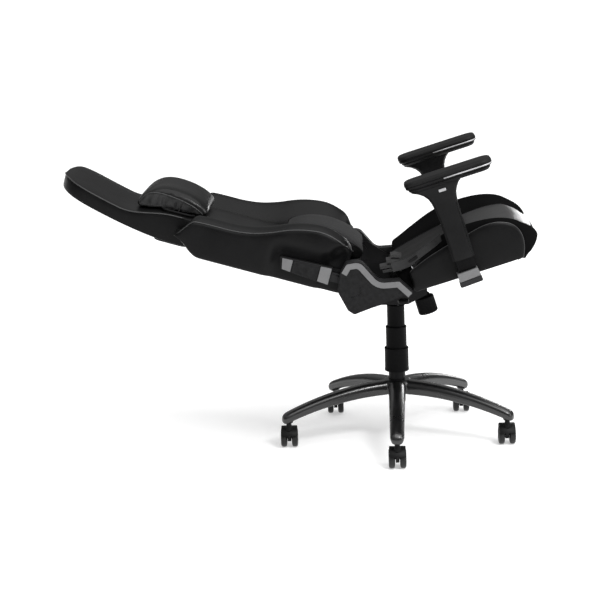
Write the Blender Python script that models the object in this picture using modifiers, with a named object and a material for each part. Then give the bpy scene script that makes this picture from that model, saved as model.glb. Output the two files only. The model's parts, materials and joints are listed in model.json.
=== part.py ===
"""Racing-style gaming chair, reclined and rocked back: a steel five-star base on twin-wheel casters,
a gas lift under a telescopic cover, a rocking mechanism, a bolstered seat, four-way armrests and a
reclining backrest with a head pillow and a lumbar cushion.

Metres, +Z up. The sitter faces +X and the sitter's left is +Y. The floor is z = 0, and the origin is
under the middle of the chair's outline as it stands reclined.
"""

import math

import bmesh
import bpy
from mathutils import Matrix, Vector

# ---------------------------------------------------------------- driving dimensions

GAP = 0.0005                 # clearance between pieces that touch in the real chair
SIDES = {"right": -1, "left": 1}

# overall stance
COLUMN_X = 0.265             # the column stands this far in front of the origin
ROCK = math.radians(16.5)    # the seat is rocked back to its stop
RECLINE = math.radians(57.0)  # the backrest leans this far back from square to the seat

# star base
ARM_COUNT = 5
FIRST_ARM = math.radians(-91.8)
CASTER_RADIUS = 0.335        # column axis to caster stem
ARM_OVERHANG = 0.020         # arm end beyond the caster stem
ARM_TOP = 0.180              # top of the arms at the column
ARM_DROP = 0.62              # the arm top falls by this times the radius squared
ARM_HEIGHT_HUB = 0.046
ARM_HEIGHT_TIP = 0.032
ARM_WIDTH_HUB = 0.053
ARM_WIDTH_TIP = 0.042
HUB_R = 0.042
HUB_BOTTOM = 0.128

# casters
WHEEL_R = 0.029
WHEEL_FACETS = 20
WHEEL_WIDTH = 0.018
WHEEL_GAP = 0.014            # between the twin wheels
CASTER_TRAIL = 0.017         # stem axis to wheel axis
STEM_R = 0.0055
STEM_DEPTH = 0.022
BOSS_R = 0.010
AXLE_R = 0.004
HOOD_T = 0.003
FORK_T = 0.010

# gas lift and its telescopic cover
CYLINDER_R = 0.0245
CYLINDER_BOTTOM = 0.112
CYLINDER_TOP = 0.318
PISTON_R = 0.014
PISTON_BOTTOM = 0.215
PISTON_TOP = 0.440
SLEEVE_WALL = 0.0015
SLEEVE_LOWER = (0.206, 0.276)
SLEEVE_MIDDLE = (0.262, 0.340)
SLEEVE_UPPER = (0.327, 0.405)

# rocking mechanism
ROCK_PIVOT_X = 0.030         # in front of the column axis
ROCK_PIVOT_Z = 0.455
HOUSING_HALF_WIDTH = 0.045
HOUSING_WALL = 0.005
HOUSING_REAR = -0.060
HOUSING_FRONT = 0.092
HOUSING_BOTTOM = 0.412
ROCK_PIN_R = 0.006
PLATE_BOTTOM = 0.014         # above the rocking pivot, square to the seat
PLATE_T = 0.006
PLATE_HALF_LENGTH = 0.100
PLATE_HALF_WIDTH = 0.075
KNOB_FORWARD = 0.0425
KNOB_R = 0.029
KNOB_TOP = -0.034
KNOB_LENGTH = 0.060
TENSION_BOLT_R = 0.004
SPRING_R = 0.011
SPRING_WIRE_R = 0.002
SPRING_TURNS = 5

# seat, in its own frame: x forward from the rocking pivot, z square to the seat
FRAME_TUBE_R = 0.010
SEAT_RING_REAR = -0.120
SEAT_RING_FRONT = 0.320
SEAT_RING_HALF_WIDTH = 0.150
WEBBING_T = 0.002
CUSHION_HALF_WIDTH = 0.162
CUSHION_REAR = -0.030
CUSHION_FRONT = 0.404
CUSHION_TOP = 0.131
BOLSTER_INNER = 0.166
BOLSTER_OUTER = 0.265
BOLSTER_FRONT = 0.398
BOLSTER_BOTTOM = 0.028

# recliner, on both sides of the seat
RECLINE_PIVOT = (-0.112, 0.096)
RECLINER_PLATE_T = 0.004
RECLINER_UPPER_Y = 0.242     # inner face of the plate that turns with the backrest
RECLINER_PIN_R = 0.006
PIN_HEAD_R = 0.010
PIN_HEAD_T = 0.005
COVER_INNER = 0.2560
COVER_OUTER = 0.3000
ACCENT_WIDTH = 0.016
ACCENT_T = 0.0015
ACCENT_GAP = 0.0003
ACCENT_INSET = 0.0035       # from the cover's crest to the strip

# backrest, in its own frame: z along the backrest, x square to its front
BACK_LENGTH = 0.880
BACK_HALF_WIDTH = 0.162
HEAD_HALF_WIDTH = 0.165
HEAD_START = 0.550
HEAD_LEAN = 0.068
BACK_REAR = -0.045
REAR_PAD_T = 0.015
BACK_TUBE_R = 0.008
TUBE_ROOM = BACK_TUBE_R + 0.0015
FRONT_PAD_FACE = 0.042
HEAD_FACE = 0.004
WING_INNER = 0.168
WING_TOP = 0.538
HARNESS_HOLE = (0.120, 0.546)  # middle of the hole, across and up the backrest
HARNESS_HOLE_SIZE = (0.048, 0.088)
BEZEL_WALL = 0.004

# loose cushions on the backrest
PILLOW_MIDDLE = 0.556
PILLOW_SIZE = (0.062, 0.262, 0.204)
PILLOW_FOOT = 0.0545
LUMBAR_BOTTOM = 0.014
LUMBAR_SIZE = (0.066, 0.290, 0.222)

# recline lever, on the sitter's right
LEVER_INNER_END = 0.084
LEVER_OUTER_END = 0.239
LEVER_Y = (0.2575, 0.2860)

# armrests
ARMREST_Y = 0.303
ARMREST_X = 0.185
POST_SIZE = (0.052, 0.022)
POST_TOP = 0.200
SLEEVE_SIZE = (0.060, 0.034)
SLEEVE_BOTTOM = 0.086
NECK_BASE = 0.258
NECK_TOP = 0.304
BUTTON_BOTTOM = 0.284
BUTTON_HEIGHT = 0.0080
PAD_X = 0.2125
PAD_SIZE = (0.247, 0.096, 0.023)
PAD_BASE_T = 0.010


# ---------------------------------------------------------------- materials

def make_material(name, colour, roughness, metallic):
    mat = bpy.data.materials.new(name)
    mat.use_nodes = True
    shader = mat.node_tree.nodes["Principled BSDF"]
    shader.inputs["Base Color"].default_value = (*colour, 1.0)
    shader.inputs["Roughness"].default_value = roughness
    shader.inputs["Metallic"].default_value = metallic
    return mat


def make_materials():
    return {
        "powder_coat": make_material("powder_coat", (0.015, 0.015, 0.016), 0.35, 0.6),
        "dark_steel": make_material("dark_steel", (0.05, 0.05, 0.055), 0.45, 0.9),
        "bright_steel": make_material("bright_steel", (0.55, 0.55, 0.56), 0.25, 1.0),
        "silver": make_material("silver", (0.32, 0.32, 0.33), 0.38, 0.8),
        "black_plastic": make_material("black_plastic", (0.02, 0.02, 0.021), 0.5, 0.0),
        "cover_plastic": make_material("cover_plastic", (0.03, 0.03, 0.031), 0.55, 0.0),
        "soft_pad": make_material("soft_pad", (0.02, 0.02, 0.02), 0.7, 0.0),
        "tread": make_material("tread", (0.018, 0.018, 0.018), 0.6, 0.0),
        "faux_leather": make_material("faux_leather", (0.014, 0.014, 0.015), 0.45, 0.0),
        "suede": make_material("suede", (0.10, 0.10, 0.10), 0.9, 0.0),
        "webbing": make_material("webbing", (0.02, 0.02, 0.02), 0.85, 0.0),
    }


# ---------------------------------------------------------------- frames and collections

def clear_scene():
    for obj in list(bpy.data.objects):
        bpy.data.objects.remove(obj, do_unlink=True)


def new_collection(name):
    collection = bpy.data.collections.new(name)
    bpy.context.scene.collection.children.link(collection)
    return collection


clear_scene()
PARTS = new_collection("gaming_chair")
MATERIALS = make_materials()


def make_frame(name, parent=None, location=(0, 0, 0), turn=0.0):
    """An empty that holds a group of pieces; turn is about its Y axis."""
    empty = bpy.data.objects.new(name, None)
    empty.empty_display_size = 0.05
    empty.parent = parent
    empty.location = location
    empty.rotation_euler = (0.0, turn, 0.0)
    PARTS.objects.link(empty)
    return empty


def add_object(name, mesh, frame, slot, location=(0, 0, 0), rotation=(0, 0, 0)):
    obj = bpy.data.objects.new(name, mesh)
    if not mesh.materials:
        mesh.materials.append(MATERIALS[slot])
    obj.parent = frame
    obj.location = location
    obj.rotation_euler = rotation
    PARTS.objects.link(obj)
    return obj


# ---------------------------------------------------------------- modelling tools

def bake(obj):
    """Replace an object's data and modifiers by its evaluated, welded mesh."""
    bpy.context.view_layer.update()
    graph = bpy.context.evaluated_depsgraph_get()
    mesh = bpy.data.meshes.new_from_object(obj.evaluated_get(graph), depsgraph=graph)
    mesh.name = obj.name
    bm = bmesh.new()
    bm.from_mesh(mesh)
    bmesh.ops.remove_doubles(bm, verts=bm.verts, dist=0.000005)
    bm.to_mesh(mesh)
    bm.free()
    if obj.type == "MESH":
        obj.modifiers.clear()
        obj.data = mesh
        return obj
    baked = add_object(obj.name + "_mesh", mesh, obj.parent, "dark_steel", obj.location, obj.rotation_euler)
    name = obj.name
    bpy.data.objects.remove(obj, do_unlink=True)
    baked.name = name
    return baked


def settle(obj):
    """Move an object's own place into its mesh, so that its origin is its frame's origin."""
    obj.data.transform(obj.matrix_basis)
    obj.location = (0.0, 0.0, 0.0)
    obj.rotation_euler = (0.0, 0.0, 0.0)
    return obj


def repaint(obj, slot):
    """Give a piece that was made of several tools one material."""
    obj.data.materials.clear()
    obj.data.materials.append(MATERIALS[slot])
    return obj


def combine(target, tool, operation):
    """Boolean with an object that isn't kept."""
    modifier = target.modifiers.new(operation.lower(), "BOOLEAN")
    modifier.operation = operation
    modifier.object = tool
    target = bake(target)
    bpy.data.objects.remove(tool, do_unlink=True)
    return target


def unite(target, *tools):
    for tool in tools:
        target = combine(target, tool, "UNION")
    return target


def cut(target, *tools):
    for tool in tools:
        target = combine(target, tool, "DIFFERENCE")
    return target


def bevel(obj, width, segments=2, angle=30.0):
    modifier = obj.modifiers.new("bevel", "BEVEL")
    modifier.width = width
    modifier.segments = segments
    modifier.limit_method = "ANGLE"
    modifier.angle_limit = math.radians(angle)
    return obj


def smooth(obj, angle=35.0):
    obj.data.shade_smooth()
    obj.data.set_sharp_from_angle(angle=math.radians(angle))
    return obj


def box(name, low, high, frame, slot):
    low, high = Vector(low), Vector(high)
    size = high - low
    middle = (low + high) / 2
    bm = bmesh.new()
    bmesh.ops.create_cube(bm, size=1.0, matrix=Matrix.Translation(middle) @ Matrix.Diagonal((*size, 1.0)))
    mesh = bpy.data.meshes.new(name)
    bm.to_mesh(mesh)
    bm.free()
    return add_object(name, mesh, frame, slot)


def rod(name, start, end, radius, frame, slot, segments=24):
    """A plain cylinder from start to end."""
    start, end = Vector(start), Vector(end)
    along = end - start
    turn = along.to_track_quat("Z", "Y").to_matrix().to_4x4()
    bm = bmesh.new()
    bmesh.ops.create_cone(bm, cap_ends=True, segments=segments, radius1=radius, radius2=radius,
                          depth=along.length, matrix=Matrix.Translation((start + end) / 2) @ turn)
    mesh = bpy.data.meshes.new(name)
    bm.to_mesh(mesh)
    bm.free()
    return add_object(name, mesh, frame, slot)


def fillet(corners, steps=4, closed=True):
    """Round each (x, y, radius) corner of an outline with an arc."""
    points = []
    count = len(corners)
    for i, (x, y, radius) in enumerate(corners):
        here = Vector((x, y))
        if radius == 0 or (not closed and i in (0, count - 1)):
            points.append(here)
            continue
        before = (Vector(corners[i - 1][:2]) - here).normalized()
        after = (Vector(corners[(i + 1) % count][:2]) - here).normalized()
        half = before.angle(after) / 2
        reach = radius / math.tan(half)
        middle = here + (before + after).normalized() * radius / math.sin(half)
        start = here + before * reach - middle
        sweep = start.angle_signed(here + after * reach - middle)
        for k in range(steps + 1):
            points.append(middle + Matrix.Rotation(-sweep * k / steps, 2) @ start)
    return points


def outline_curve(name, points, thickness, frame, slot):
    """A flat outline in local X and Y, filled and given its thickness along Z."""
    curve = bpy.data.curves.new(name, "CURVE")
    curve.dimensions = "2D"
    curve.fill_mode = "BOTH"
    curve.extrude = thickness / 2
    spline = curve.splines.new("POLY")
    spline.points.add(len(points) - 1)
    for point, where in zip(spline.points, points):
        point.co = (where[0], where[1], 0.0, 1.0)
    spline.use_cyclic_u = True
    return add_object(name, curve, frame, slot)


def side_plate(name, points, y_low, y_high, frame, slot):
    """An outline given in x and z, as a plate between two y values."""
    obj = outline_curve(name, points, y_high - y_low, frame, slot)
    obj.location = (0.0, (y_low + y_high) / 2, 0.0)
    obj.rotation_euler = (math.pi / 2, 0.0, 0.0)
    return repaint(settle(bake(obj)), slot)


def turned(name, profile, frame, slot, segments=32, ring=False):
    """A profile of (radius, z), outer side from top to bottom, turned about local Z."""
    mesh = bpy.data.meshes.new(name)
    edges = [(i, i + 1) for i in range(len(profile) - 1)]
    if ring:
        edges.append((len(profile) - 1, 0))
    mesh.from_pydata([(radius, 0.0, z) for radius, z in profile], edges, [])
    obj = add_object(name, mesh, frame, slot)
    screw = obj.modifiers.new("turn", "SCREW")
    screw.steps = segments
    screw.render_steps = segments
    screw.use_merge_vertices = True
    screw.merge_threshold = 0.00001
    return obj


def tube(name, points, radius, frame, slot, cyclic=False, sides=2):
    curve = bpy.data.curves.new(name, "CURVE")
    curve.dimensions = "3D"
    curve.bevel_depth = radius
    curve.bevel_resolution = sides
    curve.use_fill_caps = True
    spline = curve.splines.new("POLY")
    spline.points.add(len(points) - 1)
    for point, where in zip(spline.points, points):
        point.co = (*where, 1.0)
    spline.use_cyclic_u = cyclic
    return repaint(bake(add_object(name, curve, frame, slot)), slot)


def loft(name, sections, frame, slot):
    """Skin closed loops of equal count one after another, with flat ends."""
    bm = bmesh.new()
    loops = [[bm.verts.new(point) for point in section] for section in sections]
    count = len(loops[0])
    for first, second in zip(loops, loops[1:]):
        for i in range(count):
            j = (i + 1) % count
            bm.faces.new((first[i], first[j], second[j], second[i]))
    bm.faces.new(loops[0])
    bm.faces.new(loops[-1])
    bmesh.ops.recalc_face_normals(bm, faces=bm.faces)
    mesh = bpy.data.meshes.new(name)
    bm.to_mesh(mesh)
    bm.free()
    return smooth(add_object(name, mesh, frame, slot))


def round_box_section(half_width, low, high, radius, steps=2):
    """A rounded rectangle as (across, height) pairs."""
    radius = min(radius, half_width * 0.49, (high - low) * 0.49)
    corners = [(half_width, low, radius), (half_width, high, radius),
               (-half_width, high, radius), (-half_width, low, radius)]
    return fillet(corners, steps)


def blend(t):
    """Smooth step from 0 to 1."""
    t = min(max(t, 0.0), 1.0)
    return t * t * (3 - 2 * t)


def along(table, t):
    """Read a smooth value out of (station, value) pairs."""
    for (t0, v0), (t1, v1) in zip(table, table[1:]):
        if t <= t1:
            return v0 + (v1 - v0) * blend((t - t0) / (t1 - t0))
    return table[-1][1]


# ---------------------------------------------------------------- star base and casters

def arm_top(radius):
    return ARM_TOP - ARM_DROP * radius ** 2


def arm_share(radius):
    return min(radius / CASTER_RADIUS, 1.0)


def arm_bottom(radius):
    height = ARM_HEIGHT_HUB + (ARM_HEIGHT_TIP - ARM_HEIGHT_HUB) * arm_share(radius)
    return arm_top(radius) - height


def arm_section(radius, shrink=1.0):
    """A flat-bottomed arch across the arm."""
    half = (ARM_WIDTH_HUB + (ARM_WIDTH_TIP - ARM_WIDTH_HUB) * arm_share(radius)) / 2
    top, bottom = arm_top(radius), arm_bottom(radius)
    height = top - bottom
    points = []
    for k in range(9):
        angle = math.pi * k / 8
        across = math.copysign(abs(math.cos(angle)) ** 0.7, math.cos(angle)) * half * shrink
        rise = (math.sin(angle) ** 0.8) * height * 0.6
        points.append(Vector((radius, across, bottom + height * 0.4 + (rise - height * 0.1) * shrink)))
    low = bottom + height * 0.12 * (1 - shrink)
    points.append(Vector((radius, -half * 0.86 * shrink, low)))
    points.append(Vector((radius, half * 0.86 * shrink, low)))
    return points


def make_arm(index, frame):
    end = CASTER_RADIUS + ARM_OVERHANG
    radii = [HUB_R * 0.5, HUB_R * 1.2]
    radii += [HUB_R + (CASTER_RADIUS - HUB_R) * share for share in (0.18, 0.34, 0.5, 0.66, 0.82, 0.93, 1.0)]
    sections = [arm_section(radius) for radius in radii]
    for share, shrink in ((0.45, 0.94), (0.8, 0.76), (1.0, 0.45)):
        sections.append(arm_section(CASTER_RADIUS + (end - CASTER_RADIUS) * share, shrink))
    arm = loft("arm_%d" % index, sections, frame, "powder_coat")
    arm.rotation_euler = (0.0, 0.0, arm_angle(index))
    return arm


def arm_angle(index):
    return FIRST_ARM + math.tau * index / ARM_COUNT


def caster_place(index):
    angle = arm_angle(index)
    return Vector((CASTER_RADIUS * math.cos(angle), CASTER_RADIUS * math.sin(angle), 0.0))


def make_star_base(frame):
    top = arm_top(HUB_R) + 0.002
    profile = [(0.0, top), (HUB_R - 0.006, top), (HUB_R, top - 0.008), (HUB_R, HUB_BOTTOM + 0.004),
               (HUB_R - 0.004, HUB_BOTTOM), (0.0, HUB_BOTTOM)]
    base = bake(turned("star_base", profile, frame, "powder_coat"))
    for index in range(ARM_COUNT):
        base = unite(base, make_arm(index, frame))
    bore = rod("bore", (0, 0, HUB_BOTTOM - 0.01), (0, 0, top + 0.01), CYLINDER_R + GAP, frame, "powder_coat", 32)
    base = cut(base, bore)
    socket_top = arm_bottom(CASTER_RADIUS) + STEM_DEPTH
    for index in range(ARM_COUNT):
        place = caster_place(index)
        socket = rod("socket", place + Vector((0, 0, 0.02)), place + Vector((0, 0, socket_top + GAP)),
                     STEM_R + GAP, frame, "powder_coat", 16)
        base = cut(base, socket)
    return smooth(base)


def axle_height():
    """The wheels stand on a flat facet."""
    return WHEEL_R * math.cos(math.pi / WHEEL_FACETS)


def make_caster_housing_mesh(frame):
    """Stem, fork web between the wheels and a hood over them; local origin under the stem."""
    axle = axle_height()
    socket_mouth = arm_bottom(CASTER_RADIUS)
    boss_top = arm_bottom(CASTER_RADIUS + BOSS_R * 1.2) - GAP
    hood_r = WHEEL_R + 0.002
    half_hood = WHEEL_GAP / 2 + WHEEL_WIDTH - 0.002
    arc = [math.radians(a) for a in range(20, 161, 20)]
    outer = [(math.cos(a) * (hood_r + HOOD_T), math.sin(a) * (hood_r + HOOD_T)) for a in arc]
    inner = [(math.cos(a) * hood_r, math.sin(a) * hood_r) for a in reversed(arc)]
    hood = outline_curve("hood", outer + inner, half_hood * 2, frame, "black_plastic")
    hood.rotation_euler = (math.pi / 2, 0.0, math.pi / 2)
    hood.location = (0.0, CASTER_TRAIL, axle)
    hood = settle(bake(hood))
    web_points = fillet([(-0.012, -0.012, 0.008), (0.012, -0.012, 0.008),
                         (hood_r * 0.9, hood_r * 0.52, 0.004), (-hood_r * 0.9, hood_r * 0.52, 0.004)])
    web = outline_curve("web", web_points, FORK_T, frame, "black_plastic")
    web.rotation_euler = (math.pi / 2, 0.0, math.pi / 2)
    web.location = (0.0, CASTER_TRAIL, axle)
    web = settle(bake(web))
    boss = rod("boss", (0, 0, axle + WHEEL_R + GAP * 2), (0, 0, boss_top), BOSS_R, frame, "black_plastic", 20)
    bridge = box("bridge", (-FORK_T / 2 + 0.0004, -BOSS_R * 0.9, axle + 0.010),
                 (FORK_T / 2 - 0.0004, CASTER_TRAIL + 0.004, axle + hood_r + 0.002), frame, "black_plastic")
    stem = rod("stem", (0, 0, boss_top - 0.006), (0, 0, socket_mouth + STEM_DEPTH - GAP), STEM_R, frame, "black_plastic", 16)
    housing = unite(web, hood, bridge, boss, stem)
    bore = rod("axle_bore", (-0.03, CASTER_TRAIL, axle), (0.03, CASTER_TRAIL, axle), AXLE_R + GAP, frame,
               "black_plastic", 16)
    housing = cut(housing, bore)
    mesh = repaint(smooth(housing), "black_plastic").data
    bpy.data.objects.remove(housing, do_unlink=True)
    return mesh


def wheel_profile():
    """The twin wheels and their axle as one turned profile, from one end face to the other."""
    half = WHEEL_GAP / 2
    outer = half + WHEEL_WIDTH
    right = [(0.0, outer - 0.003), (WHEEL_R * 0.6, outer - 0.003), (WHEEL_R * 0.8, outer),
             (WHEEL_R - 0.002, outer - 0.001), (WHEEL_R, outer - 0.004), (WHEEL_R, half + 0.003),
             (WHEEL_R - 0.002, half), (AXLE_R, half)]
    return right + [(radius, -z) for radius, z in reversed(right)]


def make_casters(frame):
    housing_mesh = make_caster_housing_mesh(frame)
    axis_turn = Matrix.Rotation(math.pi / 2, 4, "Y") @ Matrix.Rotation(math.pi / WHEEL_FACETS, 4, "Z")
    wheels_mesh = None
    for index in range(ARM_COUNT):
        swivel = make_frame("caster_frame_%d" % (index + 1), frame, caster_place(index))
        add_object("caster_housing_%d" % (index + 1), housing_mesh, swivel, "black_plastic")
        name = "caster_wheels_%d" % (index + 1)
        if wheels_mesh is None:
            wheels = bake(turned(name, wheel_profile(), swivel, "tread", WHEEL_FACETS))
            wheels_mesh = smooth(wheels).data
        else:
            wheels = add_object(name, wheels_mesh, swivel, "tread")
        wheels.location = (0.0, CASTER_TRAIL, axle_height())
        wheels.rotation_euler = axis_turn.to_euler()


# ---------------------------------------------------------------- gas lift

def sleeve_outer_radii():
    upper = CYLINDER_R + 0.0008 + SLEEVE_WALL
    middle = upper + 0.0030 + SLEEVE_WALL
    lower = middle + 0.0032 + SLEEVE_WALL
    return upper, middle, lower


def make_sleeve(name, span, outer, lid, lid_radius, frame):
    """A thin cover tube; lid is 'top', 'bottom' or None, with a hole of lid_radius in it."""
    bottom, top = span
    inner = outer - SLEEVE_WALL
    lid_t = 0.002
    profile = [(outer - 0.0007, top), (outer, top - 0.001), (outer, bottom)]
    if lid == "bottom":
        profile += [(lid_radius, bottom), (lid_radius, bottom + lid_t), (inner, bottom + lid_t), (inner, top)]
    elif lid == "top":
        profile += [(inner, bottom), (inner, top - lid_t), (lid_radius, top - lid_t), (lid_radius, top)]
    else:
        profile += [(inner, bottom), (inner, top)]
    return smooth(bake(turned(name, profile, frame, "black_plastic", ring=True)))


def make_gas_lift(frame, lift_frame):
    floor = CYLINDER_BOTTOM + 0.012
    cylinder = [(0.0, floor), (PISTON_R + GAP, floor), (PISTON_R + GAP, CYLINDER_TOP),
                (CYLINDER_R - 0.001, CYLINDER_TOP), (CYLINDER_R, CYLINDER_TOP - 0.001),
                (CYLINDER_R, CYLINDER_BOTTOM), (0.0, CYLINDER_BOTTOM)]
    smooth(bake(turned("gas_cylinder", cylinder, frame, "dark_steel")))
    upper, middle, lower = sleeve_outer_radii()
    make_sleeve("sleeve_lower", SLEEVE_LOWER, lower, "bottom", CYLINDER_R + GAP, frame)
    make_sleeve("sleeve_middle", SLEEVE_MIDDLE, middle, None, 0.0, frame)
    make_sleeve("sleeve_upper", SLEEVE_UPPER, upper, "top", PISTON_R + GAP, lift_frame)
    piston = [(0.0, PISTON_TOP), (PISTON_R - 0.002, PISTON_TOP), (PISTON_R, PISTON_TOP - 0.020),
              (PISTON_R, PISTON_BOTTOM), (0.0, PISTON_BOTTOM)]
    smooth(bake(turned("piston_rod", piston, lift_frame, "bright_steel")))


# ---------------------------------------------------------------- rocking mechanism

def make_mechanism(swivel_frame, seat_frame):
    px, pz = ROCK_PIVOT_X, ROCK_PIVOT_Z
    half = HOUSING_HALF_WIDTH
    outline = fillet([(HOUSING_REAR, HOUSING_BOTTOM, 0.004), (px + 0.005, HOUSING_BOTTOM, 0.010),
                      (HOUSING_FRONT, HOUSING_BOTTOM + 0.028, 0.006), (HOUSING_FRONT, pz + 0.007, 0.004),
                      (px - 0.008, pz + 0.0105, 0.008), (HOUSING_REAR, pz - 0.018, 0.004)])
    housing = side_plate("tilt_housing", outline, -half, half, swivel_frame, "powder_coat")
    pocket = box("pocket", (PISTON_R + 0.008, -half + HOUSING_WALL, HOUSING_BOTTOM - 0.01),
                 (HOUSING_FRONT + 0.01, half - HOUSING_WALL, pz + 0.03), swivel_frame, "powder_coat")
    bore = rod("bore", (0, 0, HOUSING_BOTTOM - 0.01), (0, 0, PISTON_TOP + GAP), PISTON_R + GAP, swivel_frame,
               "powder_coat", 32)
    pin_bore = rod("pin_bore", (px, -0.1, pz), (px, 0.1, pz), ROCK_PIN_R + GAP, swivel_frame, "powder_coat", 20)
    cut(housing, pocket, bore, pin_bore)
    reach = half + GAP + 0.003 + 0.006
    rod("rocking_pin", (px, -reach, pz), (px, reach, pz), ROCK_PIN_R, swivel_frame, "bright_steel", 20)
    make_seat_plate(seat_frame)
    make_tension_parts(seat_frame)


def make_seat_plate(frame):
    """The steel plate that rocks with the seat, with an ear on each side for the pin."""
    flange_in = HOUSING_HALF_WIDTH + GAP * 2
    flange_out = flange_in + 0.003
    plate = box("seat_plate", (-PLATE_HALF_LENGTH, -PLATE_HALF_WIDTH, PLATE_BOTTOM),
                (PLATE_HALF_LENGTH, PLATE_HALF_WIDTH, PLATE_BOTTOM + PLATE_T), frame, "dark_steel")
    ear = fillet([(-0.030, PLATE_BOTTOM + 0.002, 0), (-0.012, -0.014, 0.010), (0.012, -0.014, 0.010),
                  (0.030, PLATE_BOTTOM + 0.002, 0)])
    for sign in (-1, 1):
        low, high = sorted((sign * flange_in, sign * flange_out))
        plate = unite(plate, side_plate("ear", ear, low, high, frame, "dark_steel"))
    bore = rod("pin_bore", (0, -0.1, 0), (0, 0.1, 0), ROCK_PIN_R + GAP, frame, "dark_steel", 20)
    cut(plate, bore)


def make_tension_parts(frame):
    x = KNOB_FORWARD
    bolt_bottom = KNOB_TOP - KNOB_LENGTH * 0.6
    rod("tension_bolt", (x, 0, bolt_bottom), (x, 0, PLATE_BOTTOM - GAP), TENSION_BOLT_R, frame, "bright_steel", 16)
    low = KNOB_TOP + SPRING_WIRE_R + 0.001
    high = PLATE_BOTTOM - SPRING_WIRE_R - 0.001
    steps = SPRING_TURNS * 8
    coil = []
    for k in range(steps + 1):
        angle = math.tau * SPRING_TURNS * k / steps
        coil.append((x + SPRING_R * math.cos(angle), SPRING_R * math.sin(angle), low + (high - low) * k / steps))
    tube("tension_spring", coil, SPRING_WIRE_R, frame, "bright_steel")
    bottom = -KNOB_LENGTH
    bore = TENSION_BOLT_R + GAP
    bore_bottom = -KNOB_LENGTH * 0.6 - GAP
    profile = [(bore, 0.0), (KNOB_R * 0.62, 0.0), (KNOB_R * 0.66, -0.006), (KNOB_R - 0.003, -0.008),
               (KNOB_R, -0.011), (KNOB_R, bottom + 0.004), (KNOB_R - 0.004, bottom), (0.0, bottom)]
    profile = [(0.0, bore_bottom), (bore, bore_bottom)] + profile
    knob_frame = make_frame("knob_frame", frame, (x, 0, KNOB_TOP))
    smooth(bake(turned("tension_knob", profile, knob_frame, "black_plastic")))


def make_height_lever(frame):
    """A rod out of the housing's right side with a flat paddle, under the seat."""
    lever = tube("height_lever", [(0.0, 0.0, 0.0), (0.0, -0.070, 0.0), (0.008, -0.100, 0.001),
                                  (0.012, -0.135, 0.002)], 0.004, frame, "dark_steel")
    paddle = box("paddle", (0.0, -0.160, -0.0030), (0.034, -0.120, 0.0055), frame, "black_plastic")
    repaint(unite(lever, bake(bevel(paddle, 0.002, 1))), "black_plastic")


# ---------------------------------------------------------------- seat

def make_seat_frame(frame):
    """A tube ring with two cross tubes, and a long rear tube that carries both recliners."""
    z = PLATE_BOTTOM + PLATE_T + GAP + FRAME_TUBE_R
    half, rear, front = SEAT_RING_HALF_WIDTH, SEAT_RING_REAR, SEAT_RING_FRONT
    ring = [(p.x, p.y, z) for p in fillet([(rear, -half, 0.03), (front, -half, 0.06),
                                           (front, half, 0.06), (rear, half, 0.03)], 5)]
    seat = tube("seat_frame", ring, FRAME_TUBE_R, frame, "dark_steel", cyclic=True)
    for x in (-PLATE_HALF_LENGTH * 0.7, PLATE_HALF_LENGTH * 0.7):
        seat = unite(seat, rod("cross", (x, -half, z), (x, half, z), FRAME_TUBE_R * 0.9, frame, "dark_steel", 12))
    reach = RECLINER_UPPER_Y + RECLINER_PLATE_T
    long_tube = rod("long", (rear, -reach, z), (rear, reach, z), FRAME_TUBE_R * 1.1, frame, "dark_steel", 16)
    return unite(seat, long_tube)


def make_webbing(frame):
    """Straps across the seat ring, woven into one sheet."""
    low = PLATE_BOTTOM + PLATE_T + GAP + FRAME_TUBE_R * 2 + GAP
    half = SEAT_RING_HALF_WIDTH - 0.004
    strap = 0.045
    sheet = None
    for x in (0.02, 0.11, 0.20, 0.29):
        piece = box("seat_webbing", (x - strap / 2, -half, low), (x + strap / 2, half, low + WEBBING_T), frame, "webbing")
        if sheet is None:
            sheet = piece
            for y in (-0.075, 0.075):
                run = box("run", (-0.002, y - strap / 2, low + 0.0002), (0.312, y + strap / 2, low + WEBBING_T - 0.0002),
                          frame, "webbing")
                sheet = unite(sheet, run)
        else:
            sheet = unite(sheet, piece)


def make_seat_cushion(frame):
    """The middle of the seat: nearly flat on top, with a nose that hangs in front of the frame."""
    bottom = PLATE_BOTTOM + PLATE_T + FRAME_TUBE_R * 2 + WEBBING_T + GAP * 3
    front, rear, top = CUSHION_FRONT, CUSHION_REAR, CUSHION_TOP
    nose_rear = SEAT_RING_FRONT + FRAME_TUBE_R + 0.012
    outline = fillet([(rear, bottom, 0.008), (rear, top - 0.042, 0.012), (rear + 0.12, top - 0.014, 0.05),
                      (front - 0.12, top, 0.10), (front - 0.030, top - 0.020, 0.03),
                      (front, top - 0.062, 0.03), (front - 0.012, 0.024, 0.02), (front - 0.044, 0.000, 0.010),
                      (nose_rear, 0.006, 0.006), (nose_rear, bottom, 0.0)], 3)
    cushion = side_plate("seat_cushion", outline, -CUSHION_HALF_WIDTH, CUSHION_HALF_WIDTH, frame, "faux_leather")
    bevel(cushion, 0.008, 2, 60)
    return smooth(bake(cushion))


BOLSTER_RIDGE = [(-0.010, 0.095), (0.050, 0.122), (0.140, 0.154), (0.220, 0.163), (0.290, 0.159),
                 (0.340, 0.143), (0.370, 0.120), (0.398, 0.096)]


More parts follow.
